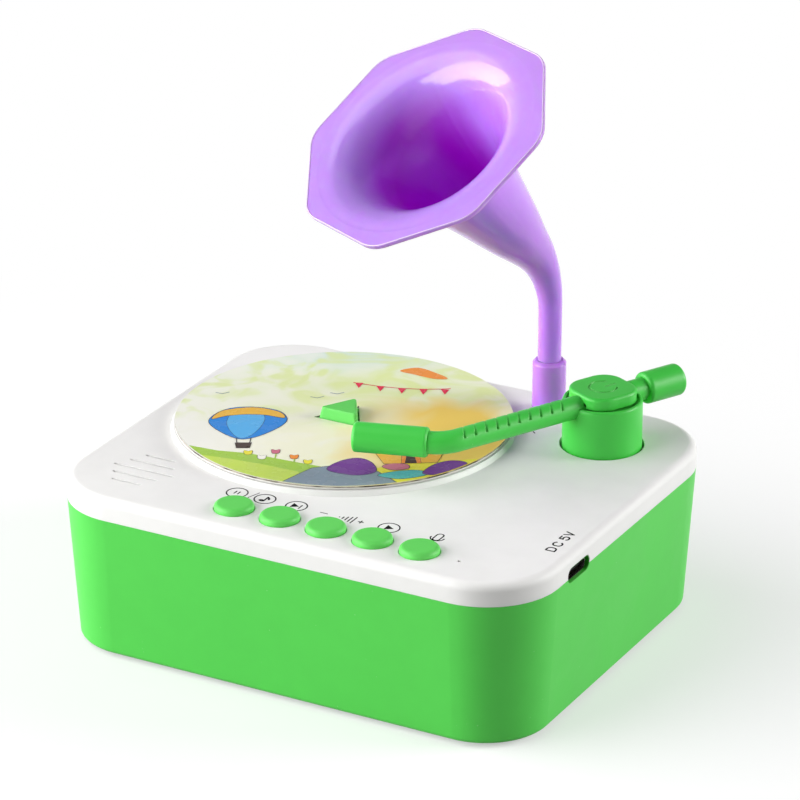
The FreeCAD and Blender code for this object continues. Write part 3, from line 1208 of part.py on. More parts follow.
def horn():
    """The round bell on its bent stem, hollow down to the bend, with an eight-sided flange."""
    wall, stem, length = number("horn_wall"), number("stem_radius"), number("bell_length")
    lip, flat = number("horn_lip_radius"), number("mouth_radius") * math.cos(math.pi / 8)
    lip_at = number("horn_lip_depth / bell_length")
    hollow, edge = 0.78, number("horn_wall / bell_length") * 0.75
    inner = [
        (hollow, stem * 1.25), (0.6, stem + lip * 0.17), (0.4, stem + lip * 0.31), (0.24, lip * 0.6),
        (0.13, lip * 0.77), (0.067, lip * 0.9), (lip_at, lip * 1.03), (edge * 0.5, lip * 1.18),
        (edge * 0.12, lip * 1.28), (-edge * 0.1, lip * 1.4), (-edge, lip * 1.46),
    ]
    outer = [
        (1.15, stem), (1.05, stem), (0.905, stem * 1.25), (hollow, stem + lip * 0.105),
        (0.6, stem + lip * 0.243), (0.4, stem + lip * 0.38), (0.24, lip * 0.6 + wall),
        (0.135, lip * 0.77 + wall), (0.08, lip * 0.9 + wall), (lip_at + 1.5 * edge, lip * 1.08),
        (2.0 * edge, lip * 1.2), (0.8 * edge, lip * 1.34), (0.2 * edge, lip * 1.38),
    ]
    tail = [1.05, 1.02, 0.98, 0.94, 0.905, 0.84, hollow]
    swell = [hollow, 0.68, 0.6, 0.5, 0.4, 0.32, 0.24, 0.18, 0.135, 0.1]
    back = bell(outer, tail + swell[1:] + [0.08, lip_at + 2.4 * edge, lip_at + 1.5 * edge,
                                           2.9 * edge, 2.0 * edge, 1.4 * edge, 0.8 * edge, 0.4 * edge])
    flange = [horn_section(edge * length, flat, number("mouth_corner")),
              horn_section(0, flat, number("mouth_corner"))]
    bore = bell(inner, swell + [0.067, 0.045, lip_at, edge * 1.2, edge * 0.5, edge * 0.12,
                                -edge * 0.1, -edge * 0.6])
    low = number("collar_top - stem_sink")
    (_, height), _ = horn_line(1.05 * length)
    stem_bar = Part.makeCylinder(stem, height - low, Vector(number("stem_x"), number("stem_y"), low))
    item = doc.addObject("Part::Feature", "horn")
    item.Shape = back.fuse(Part.makeLoft(flange, True, True)).cut(bore).fuse(stem_bar)
    item.Placement = Placement()
    return keep(item, "horn")


# ---- build, test and write -----------------------------------------------------------------------

def build():
    fill_sheet()
    base_shell()
    top_cover()
    feet()
    case_screws()
    spindle()
    story_disc()
    spindle_gear()
    motor_parts()
    keys()
    speaker()
    microphone()
    main_board()
    battery()
    pivot_column()
    arm_tube()
    headshell_and_weight()
    power_cap()
    power_switch()
    horn_collar()
    horn()
    doc.recompute()


def check():
    """Stop if any object failed or any sub-part's shape is missing or broken."""
    for item in doc.Objects:
        if "Invalid" in item.State or "Error" in item.State:
            raise ValueError(f"{item.Name} failed: {item.State}")
    for item in pieces:
        if item.Shape.isNull() or not item.Shape.isValid() or not item.Shape.Solids:
            raise ValueError(f"{item.Label} has no sound solid")


def write():
    os.makedirs("parts", exist_ok=True)
    for item in pieces:
        item.Shape.exportStep(f"parts/{item.Label}.step")
    print(len(pieces), "sub-parts written")


build()
check()
write()
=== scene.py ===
# %% [markdown]
# # A story player with a horn
# This lesson dresses a small children's audio player: a green tub with a white lid, a printed
# disc that turns, five round keys, a swinging arm and a lilac horn. The engineering model comes
# first and stays as it is. We give every moulded part its finish, print the marks on the lid and
# the picture on the disc, and build the small details that the moulds leave out.

# %% Load the engineering model
import json
import math

import bmesh
import bpy
from mathutils import Matrix, Vector

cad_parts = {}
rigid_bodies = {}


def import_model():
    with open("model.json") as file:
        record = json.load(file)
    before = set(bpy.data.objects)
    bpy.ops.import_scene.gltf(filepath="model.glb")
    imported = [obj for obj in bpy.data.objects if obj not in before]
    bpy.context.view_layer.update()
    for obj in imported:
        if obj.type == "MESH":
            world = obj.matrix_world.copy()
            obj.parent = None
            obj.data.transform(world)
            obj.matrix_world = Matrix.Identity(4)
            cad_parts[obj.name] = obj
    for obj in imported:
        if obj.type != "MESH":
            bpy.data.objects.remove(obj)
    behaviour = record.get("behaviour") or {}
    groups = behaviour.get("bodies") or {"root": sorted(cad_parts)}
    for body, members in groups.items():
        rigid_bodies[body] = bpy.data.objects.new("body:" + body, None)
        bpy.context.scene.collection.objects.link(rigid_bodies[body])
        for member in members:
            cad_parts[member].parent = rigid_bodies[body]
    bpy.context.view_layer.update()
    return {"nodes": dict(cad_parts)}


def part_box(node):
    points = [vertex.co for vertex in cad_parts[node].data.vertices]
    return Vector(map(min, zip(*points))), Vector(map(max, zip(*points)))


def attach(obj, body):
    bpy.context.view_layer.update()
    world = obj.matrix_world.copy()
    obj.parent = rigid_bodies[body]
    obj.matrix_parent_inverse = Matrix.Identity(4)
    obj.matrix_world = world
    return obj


for leftover in list(bpy.data.objects):
    bpy.data.objects.remove(leftover)
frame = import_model()
MM = 0.001

# %% [markdown]
# ## The viewpoint
# A toy like this shows best from in front, to the right and above, so that the lid, the front wall
# and the side wall are all in view. A long lens a metre away keeps the walls nearly parallel. A
# Track To constraint could aim the camera, but its three axes, written down as one matrix, settle
# its roll as well.

# %% Set up the camera
RIGHT = Vector((0.87715, 0.48022, 0.0))
UP = Vector((-0.18918, 0.34554, 0.91914))
BACK = Vector((0.44139, -0.80622, 0.39394))
CAMERA_SPOT = (0.42414, -0.76717, 0.43049)
LENS = 187.53
lens_data = bpy.data.cameras.new("long_lens")
lens_data.sensor_fit = "HORIZONTAL"
lens_data.sensor_width = 36
lens_data.lens = LENS
lens_data.clip_start = 0.05
camera = bpy.data.objects.new("long_lens", lens_data)
camera.matrix_world = (Matrix.Translation(CAMERA_SPOT)
                       @ Matrix((RIGHT, UP, BACK)).transposed().to_4x4())
bpy.context.scene.collection.objects.link(camera)
bpy.context.scene.camera = camera
bpy.context.scene.view_settings.view_transform = "Standard"
print("camera looks along", [round(part, 3) for part in -BACK])

# %% [markdown]
# ## The studio
# A wide softbox stands close by at the left and a smaller one at the right. A third hangs high at
# the left on a boom. The corner between the two walls faces neither of the low ones, so it falls
# into shade and shows how round it is. The two left ones mirror in the horn's bell as one large
# soft highlight. An area lamp is the right kind for them, because a point lamp would give hard
# shadows and pinprick highlights.

# %% Hang the softboxes
TARGET = Vector((0.0, 0.0, 0.05))


def softbox(name, place, wide, tall, level):
    """A lamp that lights the target at the given level, where 1 shows a colour as written."""
    lamp = bpy.data.lights.new(name, "AREA")
    lamp.shape = "RECTANGLE"
    lamp.size = wide
    lamp.size_y = tall
    reach = Vector(place) - TARGET
    lamp.energy = level * math.pi ** 2 * reach.length_squared
    holder = bpy.data.objects.new(name, lamp)
    turn = reach.to_track_quat("Z", "Y").to_matrix().to_4x4()
    holder.matrix_world = Matrix.Translation(place) @ turn
    bpy.context.scene.collection.objects.link(holder)
    print(name, "power", round(lamp.energy, 2), "W")


softbox("left_softbox", (-0.66, -0.52, 0.31), 1.30, 0.62, 1.88)
softbox("right_softbox", (0.82, 0.47, 0.34), 0.50, 0.50, 0.93)
softbox("boom_softbox", (-0.55, -0.30, 0.95), 0.80, 0.80, 0.32)

# %% [markdown]
# ## Helpers for node trees
# A finish in Blender is a tree of nodes, and so is the world round the scene. Such a tree could be
# wired by hand in the Shader Editor. A script makes the same one each time, and with these few
# functions a finish reads almost like arithmetic: each adds a node, feeds its inputs and gives back
# its output socket.

# %% Write the node helpers
def add(tree, kind, **settings):
    """A node in a tree, with its properties or its input values set by name."""
    node = tree.nodes.new(kind)
    for key, value in settings.items():
        if hasattr(node, key):
            setattr(node, key, value)
        else:
            node.inputs[key.replace("_", " ")].default_value = value
    return node


def feed(tree, node, *values):
    """Feeds a node's inputs in order, from sockets or with plain values."""
    for socket, value in zip(node.inputs, values):
        if isinstance(value, bpy.types.NodeSocket):
            tree.links.new(value, socket)
        elif value is not None:
            socket.default_value = value


def calculate(tree, operation, *values):
    """A Math node fed by sockets or numbers. Gives its output socket."""
    node = add(tree, "ShaderNodeMath", operation=operation)
    feed(tree, node, *values)
    return node.outputs[0]


def vector_step(tree, operation, *values):
    """A Vector Math node fed by sockets or vectors. Gives the node."""
    node = add(tree, "ShaderNodeVectorMath", operation=operation)
    feed(tree, node, *values)
    return node


def stretch(tree, value, low, high, to_low=0.0, to_high=1.0):
    """Carries a value from one range to another, kept within the second."""
    node = add(tree, "ShaderNodeMapRange")
    feed(tree, node, value, low, high, to_low, to_high)
    return node.outputs[0]


def seen_directly(tree):
    """1 for rays from the camera, from reflections and through glass, and 0 for the others."""
    path = add(tree, "ShaderNodeLightPath").outputs
    either = calculate(tree, "MAXIMUM", path["Is Camera Ray"], path["Is Glossy Ray"])
    return calculate(tree, "MAXIMUM", either, path["Is Transmission Ray"])


def mix_shaders(tree, share, first, second):
    """Mixes two shaders by a share, all three given as sockets. Gives the result socket."""
    node = add(tree, "ShaderNodeMixShader")
    feed(tree, node, share, first, second)
    return node.outputs[0]


# %% [markdown]
# ## The room
# The walls of a white room fill the shadows a little. Here the world stands in for them. To the eye
# and in reflections it is white, but it lights the player only dimly, which keeps the shade deep.
# One plain background colour can't do both, so the Light Path node tells those rays apart. The
# ceiling is dim, so level surfaces mirror little and keep their full colour.

# %% Light the room
ROOM_LIGHT = 0.15
CEILING_LIGHT = 0.14
room = bpy.data.worlds.new("white_room")
bpy.context.scene.world = room
room.use_nodes = True
tree = room.node_tree
tree.nodes.clear()
dim = add(tree, "ShaderNodeBackground", Color=(1, 1, 1, 1), Strength=ROOM_LIGHT)
white = add(tree, "ShaderNodeBackground", Color=(1, 1, 1, 1))
height = add(tree, "ShaderNodeSeparateXYZ")
tree.links.new(add(tree, "ShaderNodeTexCoord").outputs["Generated"], height.inputs[0])
tree.links.new(stretch(tree, height.outputs["Z"], 0.10, 0.38, 1.0, CEILING_LIGHT),
               white.inputs["Strength"])
shown = mix_shaders(tree, seen_directly(tree), dim.outputs[0], white.outputs[0])
tree.links.new(shown, add(tree, "ShaderNodeOutputWorld").inputs[0])
print("room gives", ROOM_LIGHT, "of white light")

# %% [markdown]
# ## The table
# A seamless sheet of white board. It is a flat disc, wide enough that no view sees its edge. To the
# eye it is white: it glows a little by itself, more and more with distance, and takes the player's
# shadow close by. For light that bounces on, it is grey. Lamps strong enough to light a plain board
# to white would wash out the player's colours.

# %% Lay the table
TABLE_GREY = 0.22
TABLE_RADIUS = 6.0
SHADOW_NEAR, SHADOW_FAR = 0.07, 0.24
table_mesh = bpy.data.meshes.new("table")
sheet = bmesh.new()
bmesh.ops.create_circle(sheet, cap_ends=True, segments=96, radius=TABLE_RADIUS)
sheet.to_mesh(table_mesh)
sheet.free()
table = bpy.data.objects.new("table", table_mesh)
bpy.context.scene.collection.objects.link(table)
board_paint = bpy.data.materials.new("white_board")
board_paint.use_nodes = True
tree = board_paint.node_tree
tree.nodes.clear()
bounce = add(tree, "ShaderNodeBsdfDiffuse", Color=(TABLE_GREY, TABLE_GREY, TABLE_GREY, 1))
shadowed = add(tree, "ShaderNodeBsdfDiffuse", Color=(1, 1, 1, 1))
glowing = add(tree, "ShaderNodeEmission", Color=(1, 1, 1, 1), Strength=1.0)
spot = add(tree, "ShaderNodeNewGeometry").outputs["Position"]
reach = vector_step(tree, "LENGTH", spot).outputs["Value"]
fade = stretch(tree, reach, SHADOW_NEAR, SHADOW_FAR, 0.45, 1.0)
fade.node.interpolation_type = "SMOOTHSTEP"
shown = mix_shaders(tree, fade, shadowed.outputs[0], glowing.outputs[0])
shown = mix_shaders(tree, seen_directly(tree), bounce.outputs[0], shown)
tree.links.new(shown, add(tree, "ShaderNodeOutputMaterial").inputs[0])
table_mesh.materials.append(board_paint)
print("table reaches", TABLE_RADIUS, "m")

# %% [markdown]
# ## Effects that finishes share
# Moulded plastic is never quite flat. It carries the fine grain of the mould, a slow ripple where
# the wall shrank as it cooled, and edges that are paler, partly as rubbed wear and partly as a
# painted highlight. Image textures could show all this, but noise needs no file, never repeats and
# stays sharp close up. Each effect is a node group, built once, that gives out heights, masks or
# colours only.

# %% Write a helper for node groups
def new_group(name, inputs, outputs):
    """A shader node group with named sockets, each given as name, kind and starting value."""
    group = bpy.data.node_groups.new(name, "ShaderNodeTree")
    for label, kind, value in inputs:
        socket = group.interface.new_socket(label, in_out="INPUT", socket_type="NodeSocket" + kind)
        if value is not None:
            socket.default_value = value
    for label, kind in outputs:
        group.interface.new_socket(label, in_out="OUTPUT", socket_type="NodeSocket" + kind)
    return group, add(group, "NodeGroupInput"), add(group, "NodeGroupOutput")


def noise(tree, place, scale, detail, roughness, distortion=0.0):
    """A Noise Texture over a place socket. The scale is a number or a socket. Gives its value."""
    node = add(tree, "ShaderNodeTexNoise", Detail=detail, Roughness=roughness,
               Distortion=distortion)
    feed(tree, node, place, None, scale)
    return node.outputs["Fac"]


# %% Build the mould-grain group
# Grain is in grains per metre: 4000 is a quarter of a millimetre from one to the next.
grain_group, given, result = new_group(
    "mould_grain",
    [("Place", "Vector", None), ("Grain", "Float", 4000.0), ("Ripple", "Float", 30.0)],
    [("Height", "Float"), ("Mottle", "Float")])
fine = noise(grain_group, given.outputs["Place"], given.outputs["Grain"], 3.0, 0.6)
slow = noise(grain_group, given.outputs["Place"], given.outputs["Ripple"], 1.0, 0.4)
patches = noise(grain_group, given.outputs["Place"], 140.0, 4.0, 0.55)
height = calculate(grain_group, "MULTIPLY_ADD", slow, 6.0, fine)
grain_group.links.new(height, result.inputs["Height"])
patches = calculate(grain_group, "MULTIPLY", patches, 0.5)
mottle = calculate(grain_group, "MULTIPLY_ADD", slow, 0.5, patches)
grain_group.links.new(mottle, result.inputs["Mottle"])
print("group", grain_group.name, "ready")

# %% Build the edge wear and highlight group
# The Bevel node rounds the surface's normal near an edge, which gives each sharp edge the thin
# line of light that a real one has. Where that normal differs from the true one, there is an
# edge. Noise breaks the mask up, as handling does. The finishes pale their colour by this mask,
# partly as wear and partly as a painted highlight.
edge_group, given, result = new_group(
    "rubbed_edge",
    [("Place", "Vector", None), ("Radius", "Float", 0.0004), ("Unevenness", "Float", 0.5)],
    [("Mask", "Float"), ("Rounded", "Vector")])
rounded = add(edge_group, "ShaderNodeBevel")
rounded.samples = 4
edge_group.links.new(given.outputs["Radius"], rounded.inputs["Radius"])
plain = add(edge_group, "ShaderNodeNewGeometry")
alike = vector_step(edge_group, "DOT_PRODUCT", rounded.outputs[0], plain.outputs["Normal"])
edge = stretch(edge_group, alike.outputs["Value"], 0.995, 0.85)
uneven = noise(edge_group, given.outputs["Place"], 900.0, 4.0, 0.6)
worn = stretch(edge_group, uneven, 0.35, 0.65)
kept = calculate(edge_group, "SUBTRACT", 1.0, worn)
kept = calculate(edge_group, "MULTIPLY", kept, given.outputs["Unevenness"])
kept = calculate(edge_group, "SUBTRACT", 1.0, kept)
edge_group.links.new(calculate(edge_group, "MULTIPLY", edge, kept), result.inputs["Mask"])
edge_group.links.new(rounded.outputs[0], result.inputs["Rounded"])
print("group", edge_group.name, "ready")

# %% Build the handling group
# Fingers leave soft shiny smears, and a room leaves specks of dust.
touch_group, given, result = new_group(
    "handling", [("Place", "Vector", None), ("Dust", "Float", 0.5)],
    [("Smear", "Float"), ("Specks", "Float")])
smear = noise(touch_group, given.outputs["Place"], 75.0, 5.0, 0.65, 0.6)
smear = stretch(touch_group, smear, 0.42, 0.68)
touch_group.links.new(smear, result.inputs["Smear"])
cells = add(touch_group, "ShaderNodeTexVoronoi", Scale=700.0)
touch_group.links.new(given.outputs["Place"], cells.inputs["Vector"])
speck = stretch(touch_group, cells.outputs["Distance"], 0.09, 0.05)
scatter = noise(touch_group, given.outputs["Place"], 260.0, 1.0, 0.5)
scatter = stretch(touch_group, scatter, 0.62, 0.66)
specks = calculate(touch_group, "MULTIPLY", speck, scatter)
touch_group.links.new(calculate(touch_group, "MULTIPLY", specks, given.outputs["Dust"]),
                      result.inputs["Specks"])
print("group", touch_group.name, "ready")


# %% [markdown]
# ## Moulded plastic
# The tub, lid, keys, arm and horn are all injection moulded and differ in colour and gloss. One
# function builds such a finish: the shared groups vary the colour a little, pale the edges, partly
# as wear and partly as a painted highlight, vary the roughness and feed the bump. Colour and gloss
# are set on the shader itself, or as colours of this one finish.

# %% Write the moulded finish
def use_group(tree, group, place, **values):
    """Places a node group and feeds it the surface's place."""
    node = add(tree, "ShaderNodeGroup")
    node.node_tree = group
    tree.links.new(place, node.inputs["Place"])
    for label, value in values.items():
        node.inputs[label].default_value = value
    return node


def blend_colours(tree, mask, first, second):
    """Mixes two colours, sockets or plain values, by a mask socket. Gives the result socket."""
    node = add(tree, "ShaderNodeMix", data_type="RGBA")
    tree.links.new(mask, node.inputs[0])
    for place, value in ((6, first), (7, second)):
        if isinstance(value, bpy.types.NodeSocket):
            tree.links.new(value, node.inputs[place])
        else:
            node.inputs[place].default_value = (*value, 1.0)
    return node.outputs[2]


def start_finish(name):
    """A material with its shader and output. Gives these and the place on the part as a socket."""
    material = bpy.data.materials.new(name)
    material.use_nodes = True
    tree = material.node_tree
    tree.nodes.clear()
    shader = add(tree, "ShaderNodeBsdfPrincipled")
    tree.links.new(shader.outputs[0], add(tree, "ShaderNodeOutputMaterial").inputs[0])
    place = add(tree, "ShaderNodeTexCoord").outputs["Object"]
    return material, tree, shader, place


def feed_bump(tree, shader, height, depth, rounded=None):
    """Feeds a height, in units of the given depth in metres, to the shader's normal."""
    bump = add(tree, "ShaderNodeBump", Strength=1.0, Distance=depth)
    tree.links.new(height, bump.inputs["Height"])
    if rounded:
        tree.links.new(rounded, bump.inputs["Normal"])
    tree.links.new(bump.outputs[0], shader.inputs["Normal"])
    tree.links.new(bump.outputs[0], shader.inputs["Coat Normal"])


def moulded(name, colour, pale, gloss, depth=2.0e-6, grain=4000.0, dust=0.3, coat=0.0, edge=0.0003,
            mirror=0.5):
    """Moulded plastic: colour, paler edge colour (wear and painted highlight), roughness, grain
    depth.
    """
    material, tree, shader, place = start_finish(name)
    shader.inputs["Specular IOR Level"].default_value = mirror
    texture = use_group(tree, grain_group, place, Grain=grain)
    edge_wear_and_highlight = use_group(tree, edge_group, place, Radius=edge)
    touch = use_group(tree, touch_group, place, Dust=dust)
    deep = tuple(0.95 * part for part in colour)
    body = blend_colours(tree, stretch(tree, texture.outputs["Mottle"], 0.35, 0.65), deep, colour)
    # Edges go paler: partly wear, partly a painted highlight along the edge.
    body = blend_colours(tree, calculate(tree, "MULTIPLY", edge_wear_and_highlight.outputs["Mask"], 0.45), body, pale)
    body = blend_colours(tree, touch.outputs["Specks"], body, (0.75, 0.74, 0.71))
    tree.links.new(body, shader.inputs["Base Color"])
    dull = calculate(tree, "MULTIPLY_ADD", touch.outputs["Smear"], -0.06, gloss + 0.03)
    tree.links.new(calculate(tree, "MULTIPLY_ADD", texture.outputs["Mottle"], 0.05, dull),
                   shader.inputs["Roughness"])
    feed_bump(tree, shader, texture.outputs["Height"], depth, edge_wear_and_highlight.outputs["Rounded"])
    if coat:
        shader.inputs["Coat Weight"].default_value = coat
        shader.inputs["Coat Roughness"].default_value = 0.05
    return material


# %% Mix the plastics
GREEN = (0.085, 0.635, 0.076)
finishes = {
    "green_shell": moulded("green_shell_satin", GREEN, (0.20, 0.78, 0.19), 0.42, mirror=0.42),
    "green_part": moulded("green_part_satin", (0.058, 0.625, 0.066), (0.22, 0.84, 0.18), 0.34,
                          grain=5200.0, edge=0.00045, mirror=0.45),
    # The keys' paler green is a painted sheen.
    "soft_key": moulded("soft_key_green", (0.125, 0.67, 0.110), (0.30, 0.86, 0.25), 0.44,
                        grain=6500.0, edge=0.0005, mirror=0.4),
    "white_cover": moulded("white_cover_satin", (0.885, 0.88, 0.86), (0.93, 0.93, 0.92), 0.45,
                           mirror=0.4),
    "lilac_horn": moulded("lilac_horn_gloss", (0.50, 0.285, 0.86), (0.86, 0.70, 0.98), 0.18,
                          depth=4.0e-7, dust=0.2, coat=0.5, edge=0.0005),
    "black_part": moulded("black_moulding", (0.006, 0.006, 0.007), (0.03, 0.03, 0.03), 0.45,
                          mirror=0.2),
    "gear": moulded("acetal_natural", (0.80, 0.78, 0.70), (0.90, 0.89, 0.84), 0.30, grain=2500.0),
}
print("moulded finishes:", len(finishes))

# %% [markdown]
# ## The horn's glow and its throat
# The horn's wall is about a millimetre of tinted plastic. Some light goes into it, scatters and
# comes out a little way off, richer in colour, which the shader's subsurface part does. Light that
# falls into the bell meets the wall many times before it comes out, and each bounce takes away
# more green, so the throat looks far deeper in colour than the flange. A render follows only a
# few of those bounces. Masks by depth along the bell's axis paint the rest into the colour as
# painted shade, on the inner wall only, and least on the side that the big softbox shines on, so
# that side is painted as lit. The wall's back and the stem are painted a deeper lilac than the
# flange too, as painted shade, for the less sky they see.

# %% Let light into the lilac plastic
GLOW_DEPTH = 0.003
tree = finishes["lilac_horn"].node_tree
shader = next(node for node in tree.nodes if node.type == "BSDF_PRINCIPLED")
shader.inputs["Subsurface Weight"].default_value = 0.7
shader.inputs["Subsurface Scale"].default_value = GLOW_DEPTH
shader.inputs["Subsurface Radius"].default_value = (1.0, 0.3, 1.0)
print("light reaches", GLOW_DEPTH / MM, "mm into the horn's plastic")

# %% Paint shade into the throat
MOUTH = Vector((0.00734, 0.00555, 0.11835))
BELL_LEAN, BELL_TURN = math.radians(42.7), math.radians(21.35)
BELL_AXIS = Vector((-math.sin(BELL_TURN) * math.sin(BELL_LEAN),
                    -math.cos(BELL_TURN) * math.sin(BELL_LEAN), math.cos(BELL_LEAN)))
# The direction of the big left softbox: the wall that faces it gets the least painted shade.
LIT_SIDE = Vector((-0.74, -0.62, 0.26))
BACK_PAINTED_SHADE = (0.52, 0.22, 0.86)
# Each row is where a painted shade begins and where it is full, in metres behind the mouth.
THROAT_PAINTED_SHADE = ((0.0, 0.007, (0.46, 0.065, 0.70)), (0.0045, 0.0105, (0.37, 0.001, 0.52)),
          (0.013, 0.026, (0.48, 0.001, 0.62)))
lilac = shader.inputs["Base Color"].links[0].from_socket
seat = add(tree, "ShaderNodeTexCoord")
from_mouth = vector_step(tree, "SUBTRACT", seat.outputs["Object"], MOUTH).outputs[0]
depth = vector_step(tree, "DOT_PRODUCT", from_mouth, -BELL_AXIS).outputs["Value"]
on_axis = vector_step(tree, "SCALE", -BELL_AXIS)
tree.links.new(depth, on_axis.inputs["Scale"])
off_axis = vector_step(tree, "SUBTRACT", from_mouth, on_axis.outputs[0]).outputs[0]
outward = vector_step(tree, "NORMALIZE", off_axis).outputs[0]
normal = seat.outputs["Normal"]
turned_out = vector_step(tree, "DOT_PRODUCT", outward, normal).outputs["Value"]
lit = vector_step(tree, "DOT_PRODUCT", normal, LIT_SIDE).outputs["Value"]
inner = calculate(tree, "MULTIPLY", stretch(tree, turned_out, 0.0, -0.5),
                  stretch(tree, depth, 0.058, 0.050))
# Painted shade: the outer wall and the stem, behind the mouth, turn a deeper lilac.
outer = calculate(tree, "SUBTRACT", stretch(tree, depth, 0.003, 0.006), inner)
lilac = blend_colours(tree, outer, lilac, BACK_PAINTED_SHADE)
# Less painted shade where the inner wall faces the lit side.
inner = calculate(tree, "MULTIPLY", inner, stretch(tree, lit, 0.04, 0.62, 1.0, 0.15))
for near, far, colour in THROAT_PAINTED_SHADE:
    mask = calculate(tree, "MULTIPLY", inner, stretch(tree, depth, near, far))
    lilac = blend_colours(tree, mask, lilac, colour)
tree.links.new(lilac, shader.inputs["Base Color"])
print("throat is deepest in colour from", THROAT_PAINTED_SHADE[-1][1] / MM, "mm behind the mouth")

# %% [markdown]
# ## The bead round the mouth
# The mould leaves a fine rounded bead along the front edge of the flange. It stiffens the edge, and
# it shows as a thin bright line wherever it mirrors a softbox. Its colour is paler than the horn's,
# a painted highlight that lightens the line all along the edge. A Bevel modifier would alter the
# engineering mesh, so the bead is a piece of its own: we find the flange's front edge in that mesh
# and lay a thin tube just inside it.

# %% Write the helper that places a piece
def finish_piece(name, mesh, body, slot, *materials):
    """Makes an object of a mesh, riding on a body."""
    data = bpy.data.meshes.new(name)
    mesh.to_mesh(data)
    mesh.free()
    for material in materials:
        data.materials.append(material)
    piece = bpy.data.objects.new(name, data)
    bpy.context.scene.collection.objects.link(piece)
    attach(piece, body)
    print(name, "faces", len(data.polygons))


# %% Lay the bead
BEAD_RADIUS, BEAD_INSET, BEAD_SINK = 0.00016, 0.00022, 0.00004
BEAD_SIDES = 8
FLANGE_REACH = 0.022
SHARP_ANGLE, FORWARD_SHARE = 0.9, 0.8
WELD = 1.0e-6
horn_mesh = bmesh.new()
horn_mesh.from_mesh(frame["nodes"]["horn"].data)
bmesh.ops.remove_doubles(horn_mesh, verts=horn_mesh.verts, dist=WELD)
side_way = BELL_AXIS.orthogonal().normalized()
other_way = BELL_AXIS.cross(side_way)
edge_spots = {}
for edge in horn_mesh.edges:
    if len(edge.link_faces) != 2 or edge.calc_face_angle(0.0) < SHARP_ANGLE:
        continue
    if max(face.normal.dot(BELL_AXIS) for face in edge.link_faces) < FORWARD_SHARE:
        continue
    for vert in edge.verts:
        arm = vert.co - MOUTH
        arm -= BELL_AXIS * arm.dot(BELL_AXIS)
        if arm.length > FLANGE_REACH:
            edge_spots[math.atan2(arm.dot(other_way), arm.dot(side_way))] = (vert.co.copy(), arm)
horn_mesh.free()
bead = bmesh.new()
bead_rings = []
corners = [2 * math.pi * k / BEAD_SIDES for k in range(BEAD_SIDES)]
for turn in sorted(edge_spots):
    spot, arm = edge_spots[turn]
    out = arm.normalized()
    middle = spot - out * BEAD_INSET - BELL_AXIS * BEAD_SINK
    bead_rings.append([bead.verts.new(middle + BEAD_RADIUS * (
        out * math.cos(corner) + BELL_AXIS * math.sin(corner))) for corner in corners])
for near, far in zip(bead_rings, bead_rings[1:] + bead_rings[:1]):
    for k in range(BEAD_SIDES):
        after = (k + 1) % BEAD_SIDES
        bead.faces.new((near[k], near[after], far[after], far[k])).smooth = True
bmesh.ops.recalc_face_normals(bead, faces=bead.faces)
# Paler than the horn: a painted highlight all along the bead, besides the real one from its gloss.
bead_gloss = moulded("bead_gloss", (0.80, 0.62, 0.96), (0.92, 0.84, 0.98), 0.12, depth=2.0e-7,
                     dust=0.0, coat=1.0, edge=0.00005)
finish_piece("horn_bead", bead, "horn", "lilac_horn", bead_gloss)

# %% [markdown]
# ## Metals
# Screws, brackets and cans are bright steel or plated sheet. Metal shows the marks of the tool that
# made it. The shader's own anisotropy would smear the highlight but show no mark close up, so a
# noise stretched along one axis gives fine drawn lines in roughness and bump.

# %% Build the drawn-lines group and the metals
drawn_group, given, result = new_group(
    "drawn_lines", [("Place", "Vector", None), ("Fineness", "Float", 9000.0)],
    [("Lines", "Float"), ("Tarnish", "Float")])
squeeze = vector_step(drawn_group, "MULTIPLY", given.outputs["Place"], (1.0, 1.0, 0.04))
lines = noise(drawn_group, squeeze.outputs[0], given.outputs["Fineness"], 3.0, 0.7)
drawn_group.links.new(lines, result.inputs["Lines"])
tarnish = noise(drawn_group, given.outputs["Place"], 400.0, 5.0, 0.6)
drawn_group.links.new(stretch(drawn_group, tarnish, 0.4, 0.7), result.inputs["Tarnish"])


def metal(name, colour, dark, gloss, depth=1.0e-6, fineness=9000.0):
    """Bare metal: its colour, its tarnished colour, its roughness and the depth of its lines."""
    material, tree, shader, place = start_finish(name)
    marks = use_group(tree, drawn_group, place, Fineness=fineness)
    edge_wear_and_highlight = use_group(tree, edge_group, place, Radius=0.0001)
    body = blend_colours(tree, marks.outputs["Tarnish"], colour, dark)
    # Edges go paler: partly wear, partly a painted highlight.
    body = blend_colours(tree, edge_wear_and_highlight.outputs["Mask"], body, (0.86, 0.86, 0.85))
    tree.links.new(body, shader.inputs["Base Color"])
    shader.inputs["Metallic"].default_value = 1.0
    tree.links.new(calculate(tree, "MULTIPLY_ADD", marks.outputs["Lines"], 0.18, gloss - 0.08),
                   shader.inputs["Roughness"])
    feed_bump(tree, shader, marks.outputs["Lines"], depth)
    return material


bare = len(finishes)
finishes["steel"] = metal("zinc_plated_steel", (0.60, 0.61, 0.62), (0.42, 0.41, 0.38), 0.28)
finishes["motor_can"] = metal("rolled_can", (0.50, 0.51, 0.52), (0.34, 0.33, 0.31), 0.34)
finishes["port_metal"] = metal("nickel_plate", (0.66, 0.64, 0.60), (0.50, 0.47, 0.42), 0.20)
finishes["magnet"] = metal("ferrite", (0.10, 0.10, 0.105), (0.06, 0.055, 0.05), 0.55)
finishes["basket"] = metal("pressed_basket", (0.30, 0.30, 0.31), (0.20, 0.195, 0.19), 0.38)
finishes["pouch"] = metal("pouch_foil", (0.72, 0.73, 0.75), (0.60, 0.60, 0.60), 0.30, 2.0e-5, 700.0)
gold = metal("contact_gold", (0.95, 0.66, 0.24), (0.80, 0.50, 0.16), 0.20)
print("metals:", len(finishes) - bare + 1)

